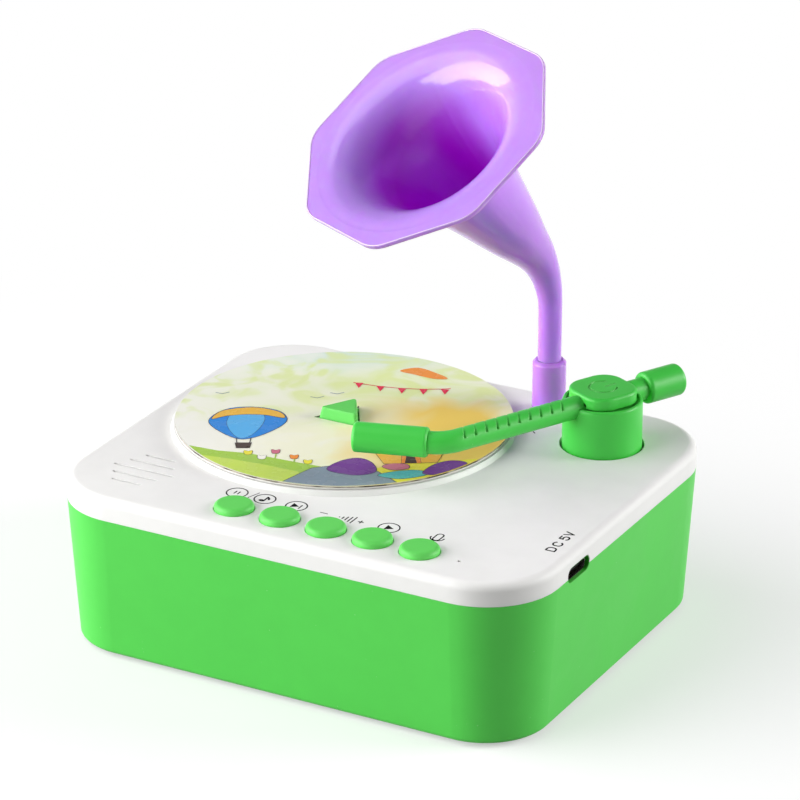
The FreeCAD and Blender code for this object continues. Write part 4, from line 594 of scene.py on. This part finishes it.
# %% [markdown]
# ## Soft and inner materials
# Rubber feet are matt with a powdery bloom. Foam is open, so it gets large pits. The speaker's cone
# is black paper with fibres in it. None of these shows wear at its edges, so one short function
# makes them from two noises. The boards are green lacquer over glass cloth, whose weave shows
# through as a fine grid, and the coil is copper wire under clear lacquer. Those two repeat evenly,
# so they are built from waves and bricks instead of noise.

# %% Write the soft finishes
def matt(name, colour, pale, gloss, scale, depth, detail=4.0, mirror=0.4):
    """A matt, uneven material, such as rubber, foam or paper, with pits at the given scale."""
    material, tree, shader, place = start_finish(name)
    shader.inputs["Specular IOR Level"].default_value = mirror
    pits = noise(tree, place, scale, detail, 0.6)
    bloom = noise(tree, place, scale * 0.12, 3.0, 0.5)
    body = blend_colours(tree, stretch(tree, bloom, 0.35, 0.7), colour, pale)
    # The hollows of the pits are darkened: painted shade.
    body = blend_colours(tree, stretch(tree, pits, 0.48, 0.36), body,
                         tuple(0.45 * part for part in colour))
    tree.links.new(body, shader.inputs["Base Color"])
    tree.links.new(calculate(tree, "MULTIPLY_ADD", pits, 0.15, gloss), shader.inputs["Roughness"])
    feed_bump(tree, shader, pits, depth)
    return material


finishes["rubber"] = matt("rubber_grey", (0.055, 0.055, 0.058), (0.10, 0.10, 0.10), 0.62, 5000.0,
                          1.2e-5)
finishes["seal"] = matt("seal_rubber", (0.020, 0.020, 0.021), (0.05, 0.05, 0.05), 0.45, 5000.0,
                        6.0e-6)
finishes["foam"] = matt("open_foam", (0.085, 0.085, 0.09), (0.14, 0.14, 0.145), 0.80, 1600.0,
                        1.5e-4, 2.0)
finishes["cone"] = matt("paper_cone", (0.030, 0.030, 0.032), (0.07, 0.068, 0.064), 0.75, 2600.0,
                        3.0e-5)
print("finishes with the soft ones:", len(finishes))

# %% Write the board and the coil
material, tree, shader, place = start_finish("lacquered_board")
weave = [add(tree, "ShaderNodeTexWave", bands_direction="XY"[turn], Scale=260.0,
             Distortion=0.3) for turn in (0, 1)]
for wave in weave:
    tree.links.new(place, wave.inputs["Vector"])
cloth = calculate(tree, "MULTIPLY", weave[0].outputs["Fac"], weave[1].outputs["Fac"])
lacquer = blend_colours(tree, cloth, (0.010, 0.085, 0.032), (0.022, 0.14, 0.055))
tracks = add(tree, "ShaderNodeTexBrick", Scale=160.0, Mortar_Size=0.05)
tree.links.new(place, tracks.inputs["Vector"])
copper_lines = stretch(tree, tracks.outputs["Fac"], 0.4, 0.6)
lacquer = blend_colours(tree, calculate(tree, "MULTIPLY", copper_lines, 0.6), lacquer,
                        (0.06, 0.22, 0.07))
tree.links.new(lacquer, shader.inputs["Base Color"])
tree.links.new(calculate(tree, "MULTIPLY_ADD", cloth, 0.12, 0.24), shader.inputs["Roughness"])
feed_bump(tree, shader, calculate(tree, "MULTIPLY_ADD", copper_lines, 2.0, cloth), 1.5e-5)
finishes["board"] = material

material, tree, shader, place = start_finish("lacquered_wire")
spiral = add(tree, "ShaderNodeTexWave", wave_type="RINGS", rings_direction="Z", Scale=900.0,
             Distortion=0.2)
low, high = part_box("reader_coil")
from_middle = vector_step(tree, "SUBTRACT", place, (low + high) / 2)
tree.links.new(from_middle.outputs[0], spiral.inputs["Vector"])
# The grooves between turns are darker: painted shade.
wire = blend_colours(tree, spiral.outputs["Fac"], (0.36, 0.12, 0.05), (0.78, 0.36, 0.18))
tree.links.new(wire, shader.inputs["Base Color"])
shader.inputs["Metallic"].default_value = 0.9
tree.links.new(calculate(tree, "MULTIPLY_ADD", spiral.outputs["Fac"], -0.1, 0.35),
               shader.inputs["Roughness"])
feed_bump(tree, shader, spiral.outputs["Fac"], 3.0e-5)
finishes["coil"] = material
print("finishes so far:", sorted(finishes))

# %% [markdown]
# ## The disc's print
# The story disc is a thin card-like plastic disc. Its face is printed in soft washes: cream at the
# front that turns to lime green further back and to pale sky at the back rim, nearly white at the
# left, with a golden glow at the right. Vertex colours would be too coarse on a face with so few
# corners, so the washes are noise-bent gradients over the disc. Its top edge is paler, partly as
# wear and partly as a painted highlight. Its cut edge is dark, with brown blotches that are painted
# reflections, over pale plastic lower down. The picture comes later, as real layers of ink.

# %% Paint the disc's washes
low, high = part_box("story_disc")
DISC = (low + high) / 2
DISC_TOP = high.z
DISC_RADIUS = (high.x - low.x) / 2
TURN = math.atan2(RIGHT.y, RIGHT.x)
material, tree, shader, place = start_finish("disc_washes")
settle = add(tree, "ShaderNodeMapping", vector_type="TEXTURE")
feed(tree, settle, place, (DISC.x, DISC.y, DISC_TOP), (0, 0, TURN), (DISC_RADIUS,) * 3)
across = add(tree, "ShaderNodeSeparateXYZ")
tree.links.new(settle.outputs[0], across.inputs[0])
drift = noise(tree, settle.outputs[0], 1.6, 3.0, 0.5, 0.8)
veil = noise(tree, settle.outputs[0], 3.0, 2.0, 0.45, 1.6)
rightward = calculate(tree, "MULTIPLY_ADD", drift, 0.9, across.outputs["X"])
backward = calculate(tree, "MULTIPLY_ADD", drift, 0.8, across.outputs["Y"])
wash = blend_colours(tree, stretch(tree, backward, 0.15, 0.85), (0.86, 0.86, 0.60),
                     (0.77, 0.84, 0.54))
wash = blend_colours(tree, stretch(tree, backward, 1.0, 1.40), wash, (0.66, 0.80, 0.72))
wash = blend_colours(tree, stretch(tree, rightward, 0.45, -0.65), wash, (0.90, 0.90, 0.84))
lime = calculate(tree, "MULTIPLY", stretch(tree, veil, 0.52, 0.38),
                 stretch(tree, backward, 0.25, 0.7, 0.0, 0.7))
wash = blend_colours(tree, lime, wash, (0.70, 0.80, 0.30))
glow = calculate(tree, "MULTIPLY", stretch(tree, rightward, 0.40, 0.90),
                 stretch(tree, backward, 0.66, 0.42))
wash = blend_colours(tree, glow, wash, (0.86, 0.62, 0.12))
cloud = calculate(tree, "MULTIPLY", stretch(tree, veil, 0.50, 0.80),
                  stretch(tree, glow, 0.5, 0.0, 0.0, 0.8))
wash = blend_colours(tree, cloud, wash, (0.88, 0.88, 0.78))
edge_wear_and_highlight = use_group(tree, edge_group, place, Radius=0.0002)
upright = add(tree, "ShaderNodeNewGeometry")
facing = add(tree, "ShaderNodeSeparateXYZ")
tree.links.new(upright.outputs["Normal"], facing.inputs[0])
cut_edge = stretch(tree, facing.outputs["Z"], 0.7, 0.3)
# The top edge goes cream: partly wear, partly a painted highlight line.
wash = blend_colours(tree, calculate(tree, "MULTIPLY", edge_wear_and_highlight.outputs["Mask"], 0.8), wash,
                     (0.93, 0.91, 0.78))
# The cut edge is dark, with brown blotches that are painted reflections, and pale lower down.
painted_reflection_blotch = stretch(tree, noise(tree, settle.outputs[0], 4.5, 3.0, 0.6), 0.46, 0.56)
edge_colour = blend_colours(tree, painted_reflection_blotch, (0.42, 0.37, 0.30), (0.060, 0.040, 0.026))
edge_colour = blend_colours(tree, stretch(tree, across.outputs["Z"], -0.0075, -0.0100), edge_colour,
                            (0.74, 0.72, 0.69))
wash = blend_colours(tree, cut_edge, wash, edge_colour)
tree.links.new(wash, shader.inputs["Base Color"])
tree.links.new(calculate(tree, "MULTIPLY_ADD", veil, 0.08, 0.30), shader.inputs["Roughness"])
shader.inputs["Specular IOR Level"].default_value = 0.2
texture = use_group(tree, grain_group, place, Grain=3000.0)
feed_bump(tree, shader, texture.outputs["Height"], 8.0e-7)
finishes["disc_print"] = material
print("disc", round(2 * DISC_RADIUS / MM, 1), "mm across")

# %% [markdown]
# ## Dressing the engineering parts
# Each engineering part comes with a plain material that carries the name of its finish, and the
# finish built under that name takes its place. A list of all the parts would do too, but it would
# be long, and a new screw would be left bare. The keys and the disc's key get a softer, rougher
# finish in a paler green. The paler colour is a painted sheen, for the soft veil of light on them.

# %% Dress every engineering part
for name, part in frame["nodes"].items():
    painted_sheen_part = name == "spindle" or (name.startswith("key_") and name.endswith("_cap"))
    for slot in part.material_slots:
        slot.material = finishes["soft_key" if painted_sheen_part else slot.material.name.split(".")[0]]
print("dressed", len(frame["nodes"]), "parts")


# %% [markdown]
# ## The port's opening
# The opening is cut half through the lid and half through the tub. The tub's lip is drawn out into
# a thin collar that lines it, so no white edge shows inside. On the black tongue lie the gold
# contacts, thin strips that run towards the plug. Painted on, neither would have an edge to catch
# the light, so both are thin solid pieces.

# %% Line the opening and lay the contacts
def tube_between(outer, inner, back, front):
    """A closed tube along X between two stadium outlines of (y, z) points, in metres."""
    mesh = bmesh.new()
    rings = [[mesh.verts.new((x, y, z)) for y, z in loop]
             for x, loop in ((front, outer), (front, inner), (back, inner), (back, outer))]
    count = len(outer)
    for place in range(4):
        near, far = rings[place], rings[(place + 1) % 4]
        for k in range(count):
            after = (k + 1) % count
            mesh.faces.new((near[k], near[after], far[after], far[k]))
    bmesh.ops.recalc_face_normals(mesh, faces=mesh.faces)
    return mesh


low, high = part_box("port_shell")
PORT = (low + high) / 2
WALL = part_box("top_cover")[1].x
OPENING_WIDTH, OPENING_HEIGHT = 0.0106, 0.0037
COLLAR, COLLAR_DEPTH, COLLAR_SET_BACK, COLLAR_FIT = 0.00016, 0.0014, 0.00008, 0.00001


def stadium(inset, steps=10):
    """Points (y, z) round the port's opening, moved inward by a distance."""
    radius = OPENING_HEIGHT / 2 - inset
    reach = (OPENING_WIDTH - OPENING_HEIGHT) / 2
    loop = []
    for side, start in ((1, -90), (-1, 90)):
        for step in range(steps + 1):
            turn = math.radians(start + 180 * step / steps)
            loop.append((PORT.y + side * reach + radius * math.cos(turn),
                         PORT.z + radius * math.sin(turn)))
    return loop


# The collar is a darker green than the tub: painted shade inside the opening.
collar_painted_shade = moulded("port_collar_green", (0.020, 0.36, 0.012), (0.10, 0.52, 0.04), 0.40,
                       mirror=0.15)
collar = tube_between(stadium(COLLAR_FIT), stadium(COLLAR), WALL - COLLAR_DEPTH,
                      WALL - COLLAR_SET_BACK)
finish_piece("port_collar", collar, "casing", "green_shell", collar_painted_shade)
STRIPS, STRIP_PITCH = 7, 0.0008
STRIP_SHARE, STRIP_WIDTH, STRIP_THICKNESS, STRIP_TAPER = 0.8, 0.00036, 0.00004, 0.6
low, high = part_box("port_tongue")
contacts = bmesh.new()
for k in range(STRIPS):
    across = (low.y + high.y) / 2 + STRIP_PITCH * (k - STRIPS // 2)
    for level in (low.z, high.z):
        for vert in bmesh.ops.create_cube(contacts, size=1.0)["verts"]:
            width = STRIP_WIDTH * (STRIP_TAPER if vert.co.x > 0 else 1.0)
            vert.co = Vector(((low.x + high.x) / 2 + vert.co.x * STRIP_SHARE * (high.x - low.x),
                              across + vert.co.y * width, level + vert.co.z * STRIP_THICKNESS))
finish_piece("port_contacts", contacts, "casing", "port_metal", gold)

# %% [markdown]
# ## Marks printed on the lid
# The lid carries small line drawings behind the keys, and the supply's voltage beside the port.
# They are pad printed: a thin film of black ink on the plastic. A text object could write the
# voltage, but a pen line has round ends and a font's strokes don't. So each mark is a flat slab of
# ink two hundredths of a millimetre thick, made from strokes with round ends, rings and filled
# shapes.

# %% Write the ink tools
def slab(mesh, outline, base, thickness, slot=0):
    """Adds a closed flat slab over an outline of points in millimetres. Base is its lower level."""
    lower = [mesh.verts.new((x * MM, y * MM, base)) for x, y in outline]
    upper = [mesh.verts.new((x * MM, y * MM, base + thickness)) for x, y in outline]
    faces = [mesh.faces.new(upper), mesh.faces.new(lower[::-1])]
    for place in range(len(outline)):
        after = (place + 1) % len(outline)
        faces.append(mesh.faces.new((lower[place], lower[after], upper[after], upper[place])))
    for face in faces:
        face.material_index = slot


def ring(centre, radius, width, steps=40):
    """Quads of a ring of ink, as a list of outlines."""
    turns = [2 * math.pi * step / steps for step in range(steps + 1)]
    spots = [[(centre[0] + r * math.cos(t), centre[1] + r * math.sin(t)) for t in turns]
             for r in (radius - width / 2, radius + width / 2)]
    inner, outer = spots
    return [(outer[k], outer[k + 1], inner[k + 1], inner[k]) for k in range(steps)]


def stroke(points, width, steps=6):
    """Outlines of a pen stroke through points: one bar for each run, with round ends and joints."""
    shapes = []
    for (ax, ay), (bx, by) in zip(points, points[1:]):
        way = math.atan2(by - ay, bx - ax)
        shape = []
        for (x, y), begin in (((bx, by), way - math.pi / 2), ((ax, ay), way + math.pi / 2)):
            for step in range(steps + 1):
                turn = begin + math.pi * step / steps
                shape.append((x + width / 2 * math.cos(turn), y + width / 2 * math.sin(turn)))
        shapes.append(shape)
    return shapes


def arc(centre, radius, start, end, steps=12, squash=1.0):
    """Points along an arc, with angles in degrees."""
    turns = [math.radians(start + (end - start) * k / steps) for k in range(steps + 1)]
    return [(centre[0] + radius * math.cos(turn), centre[1] + squash * radius * math.sin(turn))
            for turn in turns]


def piece_from(name, shapes, body, slot, material, base, thickness):
    """One object from slabs over many outlines, riding on a body."""
    mesh = bmesh.new()
    for shape in shapes:
        slab(mesh, shape, base, thickness)
    finish_piece(name, mesh, body, slot, material)


# %% Draw the marks behind the keys
# The lid's level and the ink's thickness are in metres, and the pen's width is in millimetres.
LID_TOP = 0.0409
INK = 0.00002
LINE = 0.32
ink = matt("black_ink", (0.004, 0.004, 0.005), (0.010, 0.010, 0.011), 0.55, 3000.0, 1.0e-6,
           mirror=0.1)


def moved(shapes, x, y, turn=0.0):
    """Outlines turned by degrees and moved."""
    c, s = math.cos(math.radians(turn)), math.sin(math.radians(turn))
    return [[(x + c * px - s * py, y + s * px + c * py) for px, py in shape] for shape in shapes]


CIRCLE = 2.45
pause_mark = ring((0, 0), CIRCLE, LINE) + stroke([(-0.45, -0.6), (-0.45, 0.6)], LINE) + stroke(
    [(0.45, -0.6), (0.45, 0.6)], LINE)
note_mark = (ring((0, 0), CIRCLE, LINE) + stroke([(0.2, -0.95), (0.2, 1.15)], 0.42)
             + stroke([(0.2, 1.1), (0.75, 0.6), (0.95, 0.1)], 0.5)
             + [arc((-0.35, -0.95), 0.72, 0, 345, 16, 0.75)])
next_mark = ring((0, 0), CIRCLE, LINE) + [[(-1.2, -1.15), (0.65, 0.0), (-1.2, 1.15)]] + stroke(
    [(1.0, -0.9), (1.0, 0.9)], LINE)
play_mark = ring((0, 0), CIRCLE, LINE) + [[(-0.8, -1.2), (1.2, 0.0), (-0.8, 1.2)]]
BAR_PITCH = 0.9
level_mark = [bar for k in range(5) for bar in stroke(
    [(BAR_PITCH * k, -0.05 - 0.4 * k), (BAR_PITCH * k, 0.05 + 0.4 * k)], LINE)]
plus_mark = stroke([(-0.6, 0), (0.6, 0)], LINE) + stroke([(0, -0.6), (0, 0.6)], LINE)
CAPSULE, CRADLE = 0.8, 1.62
voice_mark = (stroke(arc((0, 0.95), CAPSULE, 0, 180) + arc((0, -0.95), CAPSULE, 180, 360)
                     + [(CAPSULE, 0.95)], LINE)
              + stroke(arc((0, -0.3), CRADLE, 180, 360), LINE)
              + stroke([(0, -1.9), (0, -2.5)], LINE))
lid_marks = (moved(pause_mark, -19.13, -34.0) + stroke([(-15.62, -35.19), (-14.62, -31.79)], 0.22)
             + moved(note_mark, -11.87, -34.0) + moved(next_mark, -3.75, -33.9)
             + stroke([(2.6, -34.2), (4.4, -34.2)], 0.26) + moved(level_mark, 7.56, -34.3)
             + moved(plus_mark, 13.05, -34.4) + moved(play_mark, 20.0, -34.1)
             + moved(voice_mark, 31.9, -33.15))
piece_from("lid_marks", lid_marks, "casing", "black_part", ink, LID_TOP - INK / 4, INK)

# %% Letter the supply's rating
# The rating reads from front to back, so the letters stand turned a quarter.
PEN = 0.40
WIDE, TALL = 0.84, 0.70


def letter(path):
    """Pen strokes of a letter drawn 3 mm tall, brought to the rating's own size."""
    return stroke([(WIDE * x, TALL * y) for x, y in path], PEN)


letter_d = letter([(-0.95, -1.5), (-0.95, 1.5), (-0.1, 1.5)] + arc((-0.1, 0.35), 1.15, 90, 0)
                  + arc((-0.1, -0.35), 1.15, 0, -90) + [(-0.95, -1.5)])
letter_c = letter(arc((0.05, 0.4), 1.1, 25, 180) + arc((0.05, -0.4), 1.1, 180, 335))
figure_five = letter([(0.85, 1.5), (-0.75, 1.5), (-0.85, 0.2)] + arc((-0.05, -0.5), 1.0, 120, -150))
letter_v = letter([(-0.95, 1.5), (0.0, -1.5), (0.95, 1.5)])
RATING_LINE = 56.6
rating = []
for mark, reach in ((letter_d, -26.75), (letter_c, -23.75), (figure_five, -20.2),
                    (letter_v, -17.75)):
    rating += moved(mark, RATING_LINE, reach, 90)
piece_from("rating_mark", rating, "casing", "black_part", ink, LID_TOP - INK / 4, INK)
piece_from("arm_tick", stroke([(23.85, 28.7), (24.55, 28.05)], 0.3), "casing", "black_part", ink,
           LID_TOP - INK / 4, INK)


# %% [markdown]
# ## The picture on the disc
# A simple countryside for children: a meadow, a balloon, a tent among bushes, flags on a line, a
# kite, birds and tulips. Each colour is its own thin layer of ink, as in screen printing, which
# stays sharp from any distance. A layer's outline is a few points joined by a smooth closed curve,
# and a darker, slightly larger layer below gives the pen line.

# %% Write the printing tools
def smooth_loop(points, steps=6):
    """A closed smooth curve through points."""
    count, loop = len(points), []
    for k in range(count):
        a, b, c, d = (Vector(points[(k + j) % count]) for j in (-1, 0, 1, 2))
        for step in range(steps):
            t = step / steps
            spot = 0.5 * (2 * b + (c - a) * t + (2 * a - 5 * b + 4 * c - d) * t * t
                          + (3 * b - a - 3 * c + d) * t ** 3)
            loop.append(tuple(spot))
    return loop


def grown(points, by):
    """The same outline, moved outward by a distance."""
    count = len(points)
    area = sum(points[k][0] * points[(k + 1) % count][1] - points[(k + 1) % count][0] * points[k][1]
               for k in range(count))
    side = 1 if area > 0 else -1
    moved_points = []
    for k in range(count):
        along = Vector(points[(k + 1) % count]) - Vector(points[k - 1])
        out = Vector((along.y, -along.x)).normalized() * by * side
        moved_points.append(tuple(Vector(points[k]) + out))
    return moved_points


def ink_colour(name, colour):
    """Printing ink: its colour breaks into a soft dot and runs thicker in places."""
    material, tree, shader, place = start_finish(name)
    dots = add(tree, "ShaderNodeTexVoronoi", Scale=5200.0)
    tree.links.new(place, dots.inputs["Vector"])
    body = noise(tree, place, 260.0, 3.0, 0.5)
    thin = tuple(min(1.0, 0.88 * part + 0.045) for part in colour)
    shade = blend_colours(tree, stretch(tree, body, 0.3, 0.75), colour, thin)
    shade = blend_colours(tree, stretch(tree, dots.outputs["Distance"], 0.5, 0.9, 0.0, 0.25), shade,
                          thin)
    tree.links.new(shade, shader.inputs["Base Color"])
    tree.links.new(calculate(tree, "MULTIPLY_ADD", body, 0.1, 0.22), shader.inputs["Roughness"])
    shader.inputs["Specular IOR Level"].default_value = 0.2
    feed_bump(tree, shader, dots.outputs["Distance"], 5.0e-7)
    return material


INKS = {
    "pen": (0.030, 0.028, 0.040), "sky_blue": (0.022, 0.25, 0.72), "pale_blue": (0.10, 0.45, 0.84),
    "meadow": (0.38, 0.62, 0.075), "lime": (0.58, 0.76, 0.12), "lemon": (0.86, 0.78, 0.05),
    "orange": (0.86, 0.29, 0.045), "ochre": (0.84, 0.48, 0.055), "crimson": (0.76, 0.025, 0.075),
    "violet": (0.17, 0.040, 0.29), "stone": (0.24, 0.31, 0.38), "brown": (0.055, 0.030, 0.022),
    "pond": (0.10, 0.52, 0.55), "cream": (0.92, 0.90, 0.80), "rose": (0.62, 0.17, 0.25),
}
ink_names = list(INKS)
print("inks:", len(ink_names))

# %% Print the countryside
# Places are in millimetres from the disc's middle, rightward and backward as the eye sees it.
LAYER = 0.000012
PRINT_RADIUS = DISC_RADIUS / MM - 0.35
picture = bmesh.new()
heading = (math.cos(TURN), math.sin(TURN))


def on_disc(points):
    """Turns points of the picture into places on the lid, kept inside the disc's printed rim."""
    spots = []
    for u, v in points:
        share = PRINT_RADIUS / max(PRINT_RADIUS, math.hypot(u, v))
        u, v = u * share, v * share
        spots.append((DISC.x / MM + u * heading[0] - v * heading[1],
                      DISC.y / MM + u * heading[1] + v * heading[0]))
    return spots


def ink_shape(colour, points, layer, outline=0.16, curved=True):
    """Prints one shape in a colour at a layer, with a pen line round it."""
    loop = smooth_loop(points) if curved else points
    level = DISC_TOP + LAYER * layer
    if outline:
        slab(picture, on_disc(grown(loop, outline)), level - LAYER / 2, LAYER, 0)
    slab(picture, on_disc(loop), level, LAYER, ink_names.index(colour))


def ink_stroke(colour, points, width, layer):
    """Prints a pen line in a colour at a layer."""
    for shape in stroke(points, width):
        slab(picture, on_disc(shape), DISC_TOP + LAYER * layer, LAYER, ink_names.index(colour))


def rim(start, end, steps=24):
    """Points along the printed rim between two angles in degrees."""
    return arc((0, 0), PRINT_RADIUS, start, end, steps)


# the meadow along the front, with a lime slope, a lemon field, a stony path and a pond
ink_shape("meadow", rim(205, 262) + [(-4, -29), (-12, -25.5), (-22, -21), (-29, -19.5)], 1, 0,
          False)
ink_shape("lime", rim(214, 258) + [(-10, -31.5), (-18, -27.5), (-26, -24.2)], 2, 0, False)
ink_shape("lemon", rim(272, 322) + [(24, -25.5), (17, -24.5), (10, -28.5), (4, -31)], 1, 0, False)
ink_shape("stone", rim(250, 288) + [(8, -31.5), (0, -27.5), (-7, -29.5)], 3, 0.2, False)
ink_shape("pond", [(8, -33.5), (12.5, -31.2), (17.5, -30.8), (19, -33.2), (13, -35.4)], 4)

# the balloon that floats at the left
ink_shape("sky_blue", [(-30.5, -6.0), (-31.3, -1.0), (-27.5, 4.4), (-21.4, 5.6), (-15.4, 3.2),
                       (-13.4, -2.0), (-16.0, -7.4), (-21.2, -12.4), (-25.2, -12.4)], 4)
ink_shape("pale_blue", [(-24.8, -11.8), (-27.2, -5.0), (-26.5, 1.2), (-22.9, 5.0), (-20.8, 4.8),
                        (-18.6, -0.4), (-19.6, -6.6), (-22.2, -11.9)], 5, 0.1)
ink_shape("ochre", [(-30.9, -1.4), (-28.4, 3.4), (-21.5, 5.3), (-15.6, 2.9), (-14.0, -0.8),
                    (-18.6, 0.9), (-23.4, 1.2), (-27.8, 0.2)], 6)
ink_shape("brown", [(-25.0, -15.2), (-21.2, -15.2), (-21.6, -18.2), (-24.6, -18.2)], 5, 0.12, False)
ink_stroke("pen", [(-24.8, -12.4), (-24.6, -15.2)], 0.2, 5)
ink_stroke("pen", [(-21.4, -12.4), (-21.6, -15.2)], 0.2, 5)

# flags on a line and a kite at the back
flag_line = [(2.0 + 2.55 * k, 20.4 - 0.42 * k - 0.085 * k * (9 - k)) for k in range(10)]
ink_stroke("crimson", flag_line, 0.28, 4)
for k, (u, v) in enumerate(flag_line[:-1]):
    if k % 2 == 0:
        flag = [(u + 0.3, v - 0.1), (u + 2.3, v - 0.4), (u + 1.2, v - 3.4)]
        ink_shape("crimson", flag, 5, 0, False)
ink_shape("orange", [(13.0, 27.6), (17.4, 29.4), (21.6, 26.2), (24.4, 22.8), (21.2, 22.6),
                     (16.6, 25.2)], 4, 0)

# the tent, the bushes, the tulips and the birds
ink_shape("ochre", [(7.0, -20.0), (15.0, -13.6), (23.5, -19.0), (21.5, -26.4), (9.4, -27.2)], 6,
          0.16, False)
ink_shape("orange", [(13.4, -15.2), (15.0, -13.6), (16.8, -15.0), (17.8, -26.8), (13.4, -27.0)], 7,
          0.1, False)
ink_shape("brown", [(14.8, -20.4), (15.9, -20.4), (16.8, -26.8), (14.2, -26.9)], 8, 0.1, False)
ink_shape("violet", [(-3.5, -30.4), (-0.5, -25.6), (3.6, -24.0), (6.6, -26.6), (7.4, -31.6),
                     (2.6, -33.4)], 5)
ink_shape("violet", [(18.2, -32.4), (20.8, -27.6), (24.8, -25.4), (28.2, -26.6), (26.4, -30.0),
                     (22.0, -33.0)], 5)
ink_shape("rose", [(9.0, -28.6), (11.4, -27.0), (14.6, -27.6), (14.8, -29.8), (11.4, -30.6)], 6)
for u, v, colour in ((-15.5, -20.6, "rose"), (-11.2, -23.6, "orange"), (-18.6, -23.8, "cream"),
                     (-8.0, -26.4, "lemon"), (-21.8, -21.2, "lemon")):
    ink_stroke("meadow", [(u, v - 3.2), (u + 0.2, v)], 0.3, 4)
    ink_shape(colour, [(u - 0.9, v + 1.5), (u, v + 1.1), (u + 0.9, v + 1.5), (u + 0.8, v - 0.3),
                       (u, v - 0.8), (u - 0.8, v - 0.3)], 5, 0.1)
for u, v in ((-6.5, 11.0), (-1.8, 13.4), (-29.0, 13.6)):
    ink_stroke("stone", [(u - 1.6, v + 0.7), (u, v), (u + 1.5, v + 0.9)], 0.22, 4)

bmesh.ops.recalc_face_normals(picture, faces=picture.faces)
finish_piece("disc_picture", picture, "turntable", "disc_print",
             *[ink_colour("ink_" + name, INKS[name]) for name in ink_names])

# %% [markdown]
# ## The order of the nodes
# Whoever opens a finish wants to read it from left to right. Each node goes one column to the left
# of what it feeds, and the nodes of a column stand one above the other.

# %% Lay out every node tree
def columns_from(node, column, columns):
    """Notes how many steps each node stands before the tree's end."""
    if columns.get(node.name, -1) < column:
        columns[node.name] = column
        for link in [link for socket in node.inputs for link in socket.links]:
            columns_from(link.from_node, column + 1, columns)


trees = [material.node_tree for material in bpy.data.materials if material.node_tree]
trees += [*bpy.data.node_groups, room.node_tree]
for tree in trees:
    columns, filled = {}, {}
    for node in tree.nodes:
        columns_from(node, 0, columns)
    for node in tree.nodes:
        column = columns[node.name]
        node.location = (-240 * column, -220 * filled.get(column, 0))
        filled[column] = filled.get(column, 0) + 1
print("trees laid out:", len(trees))
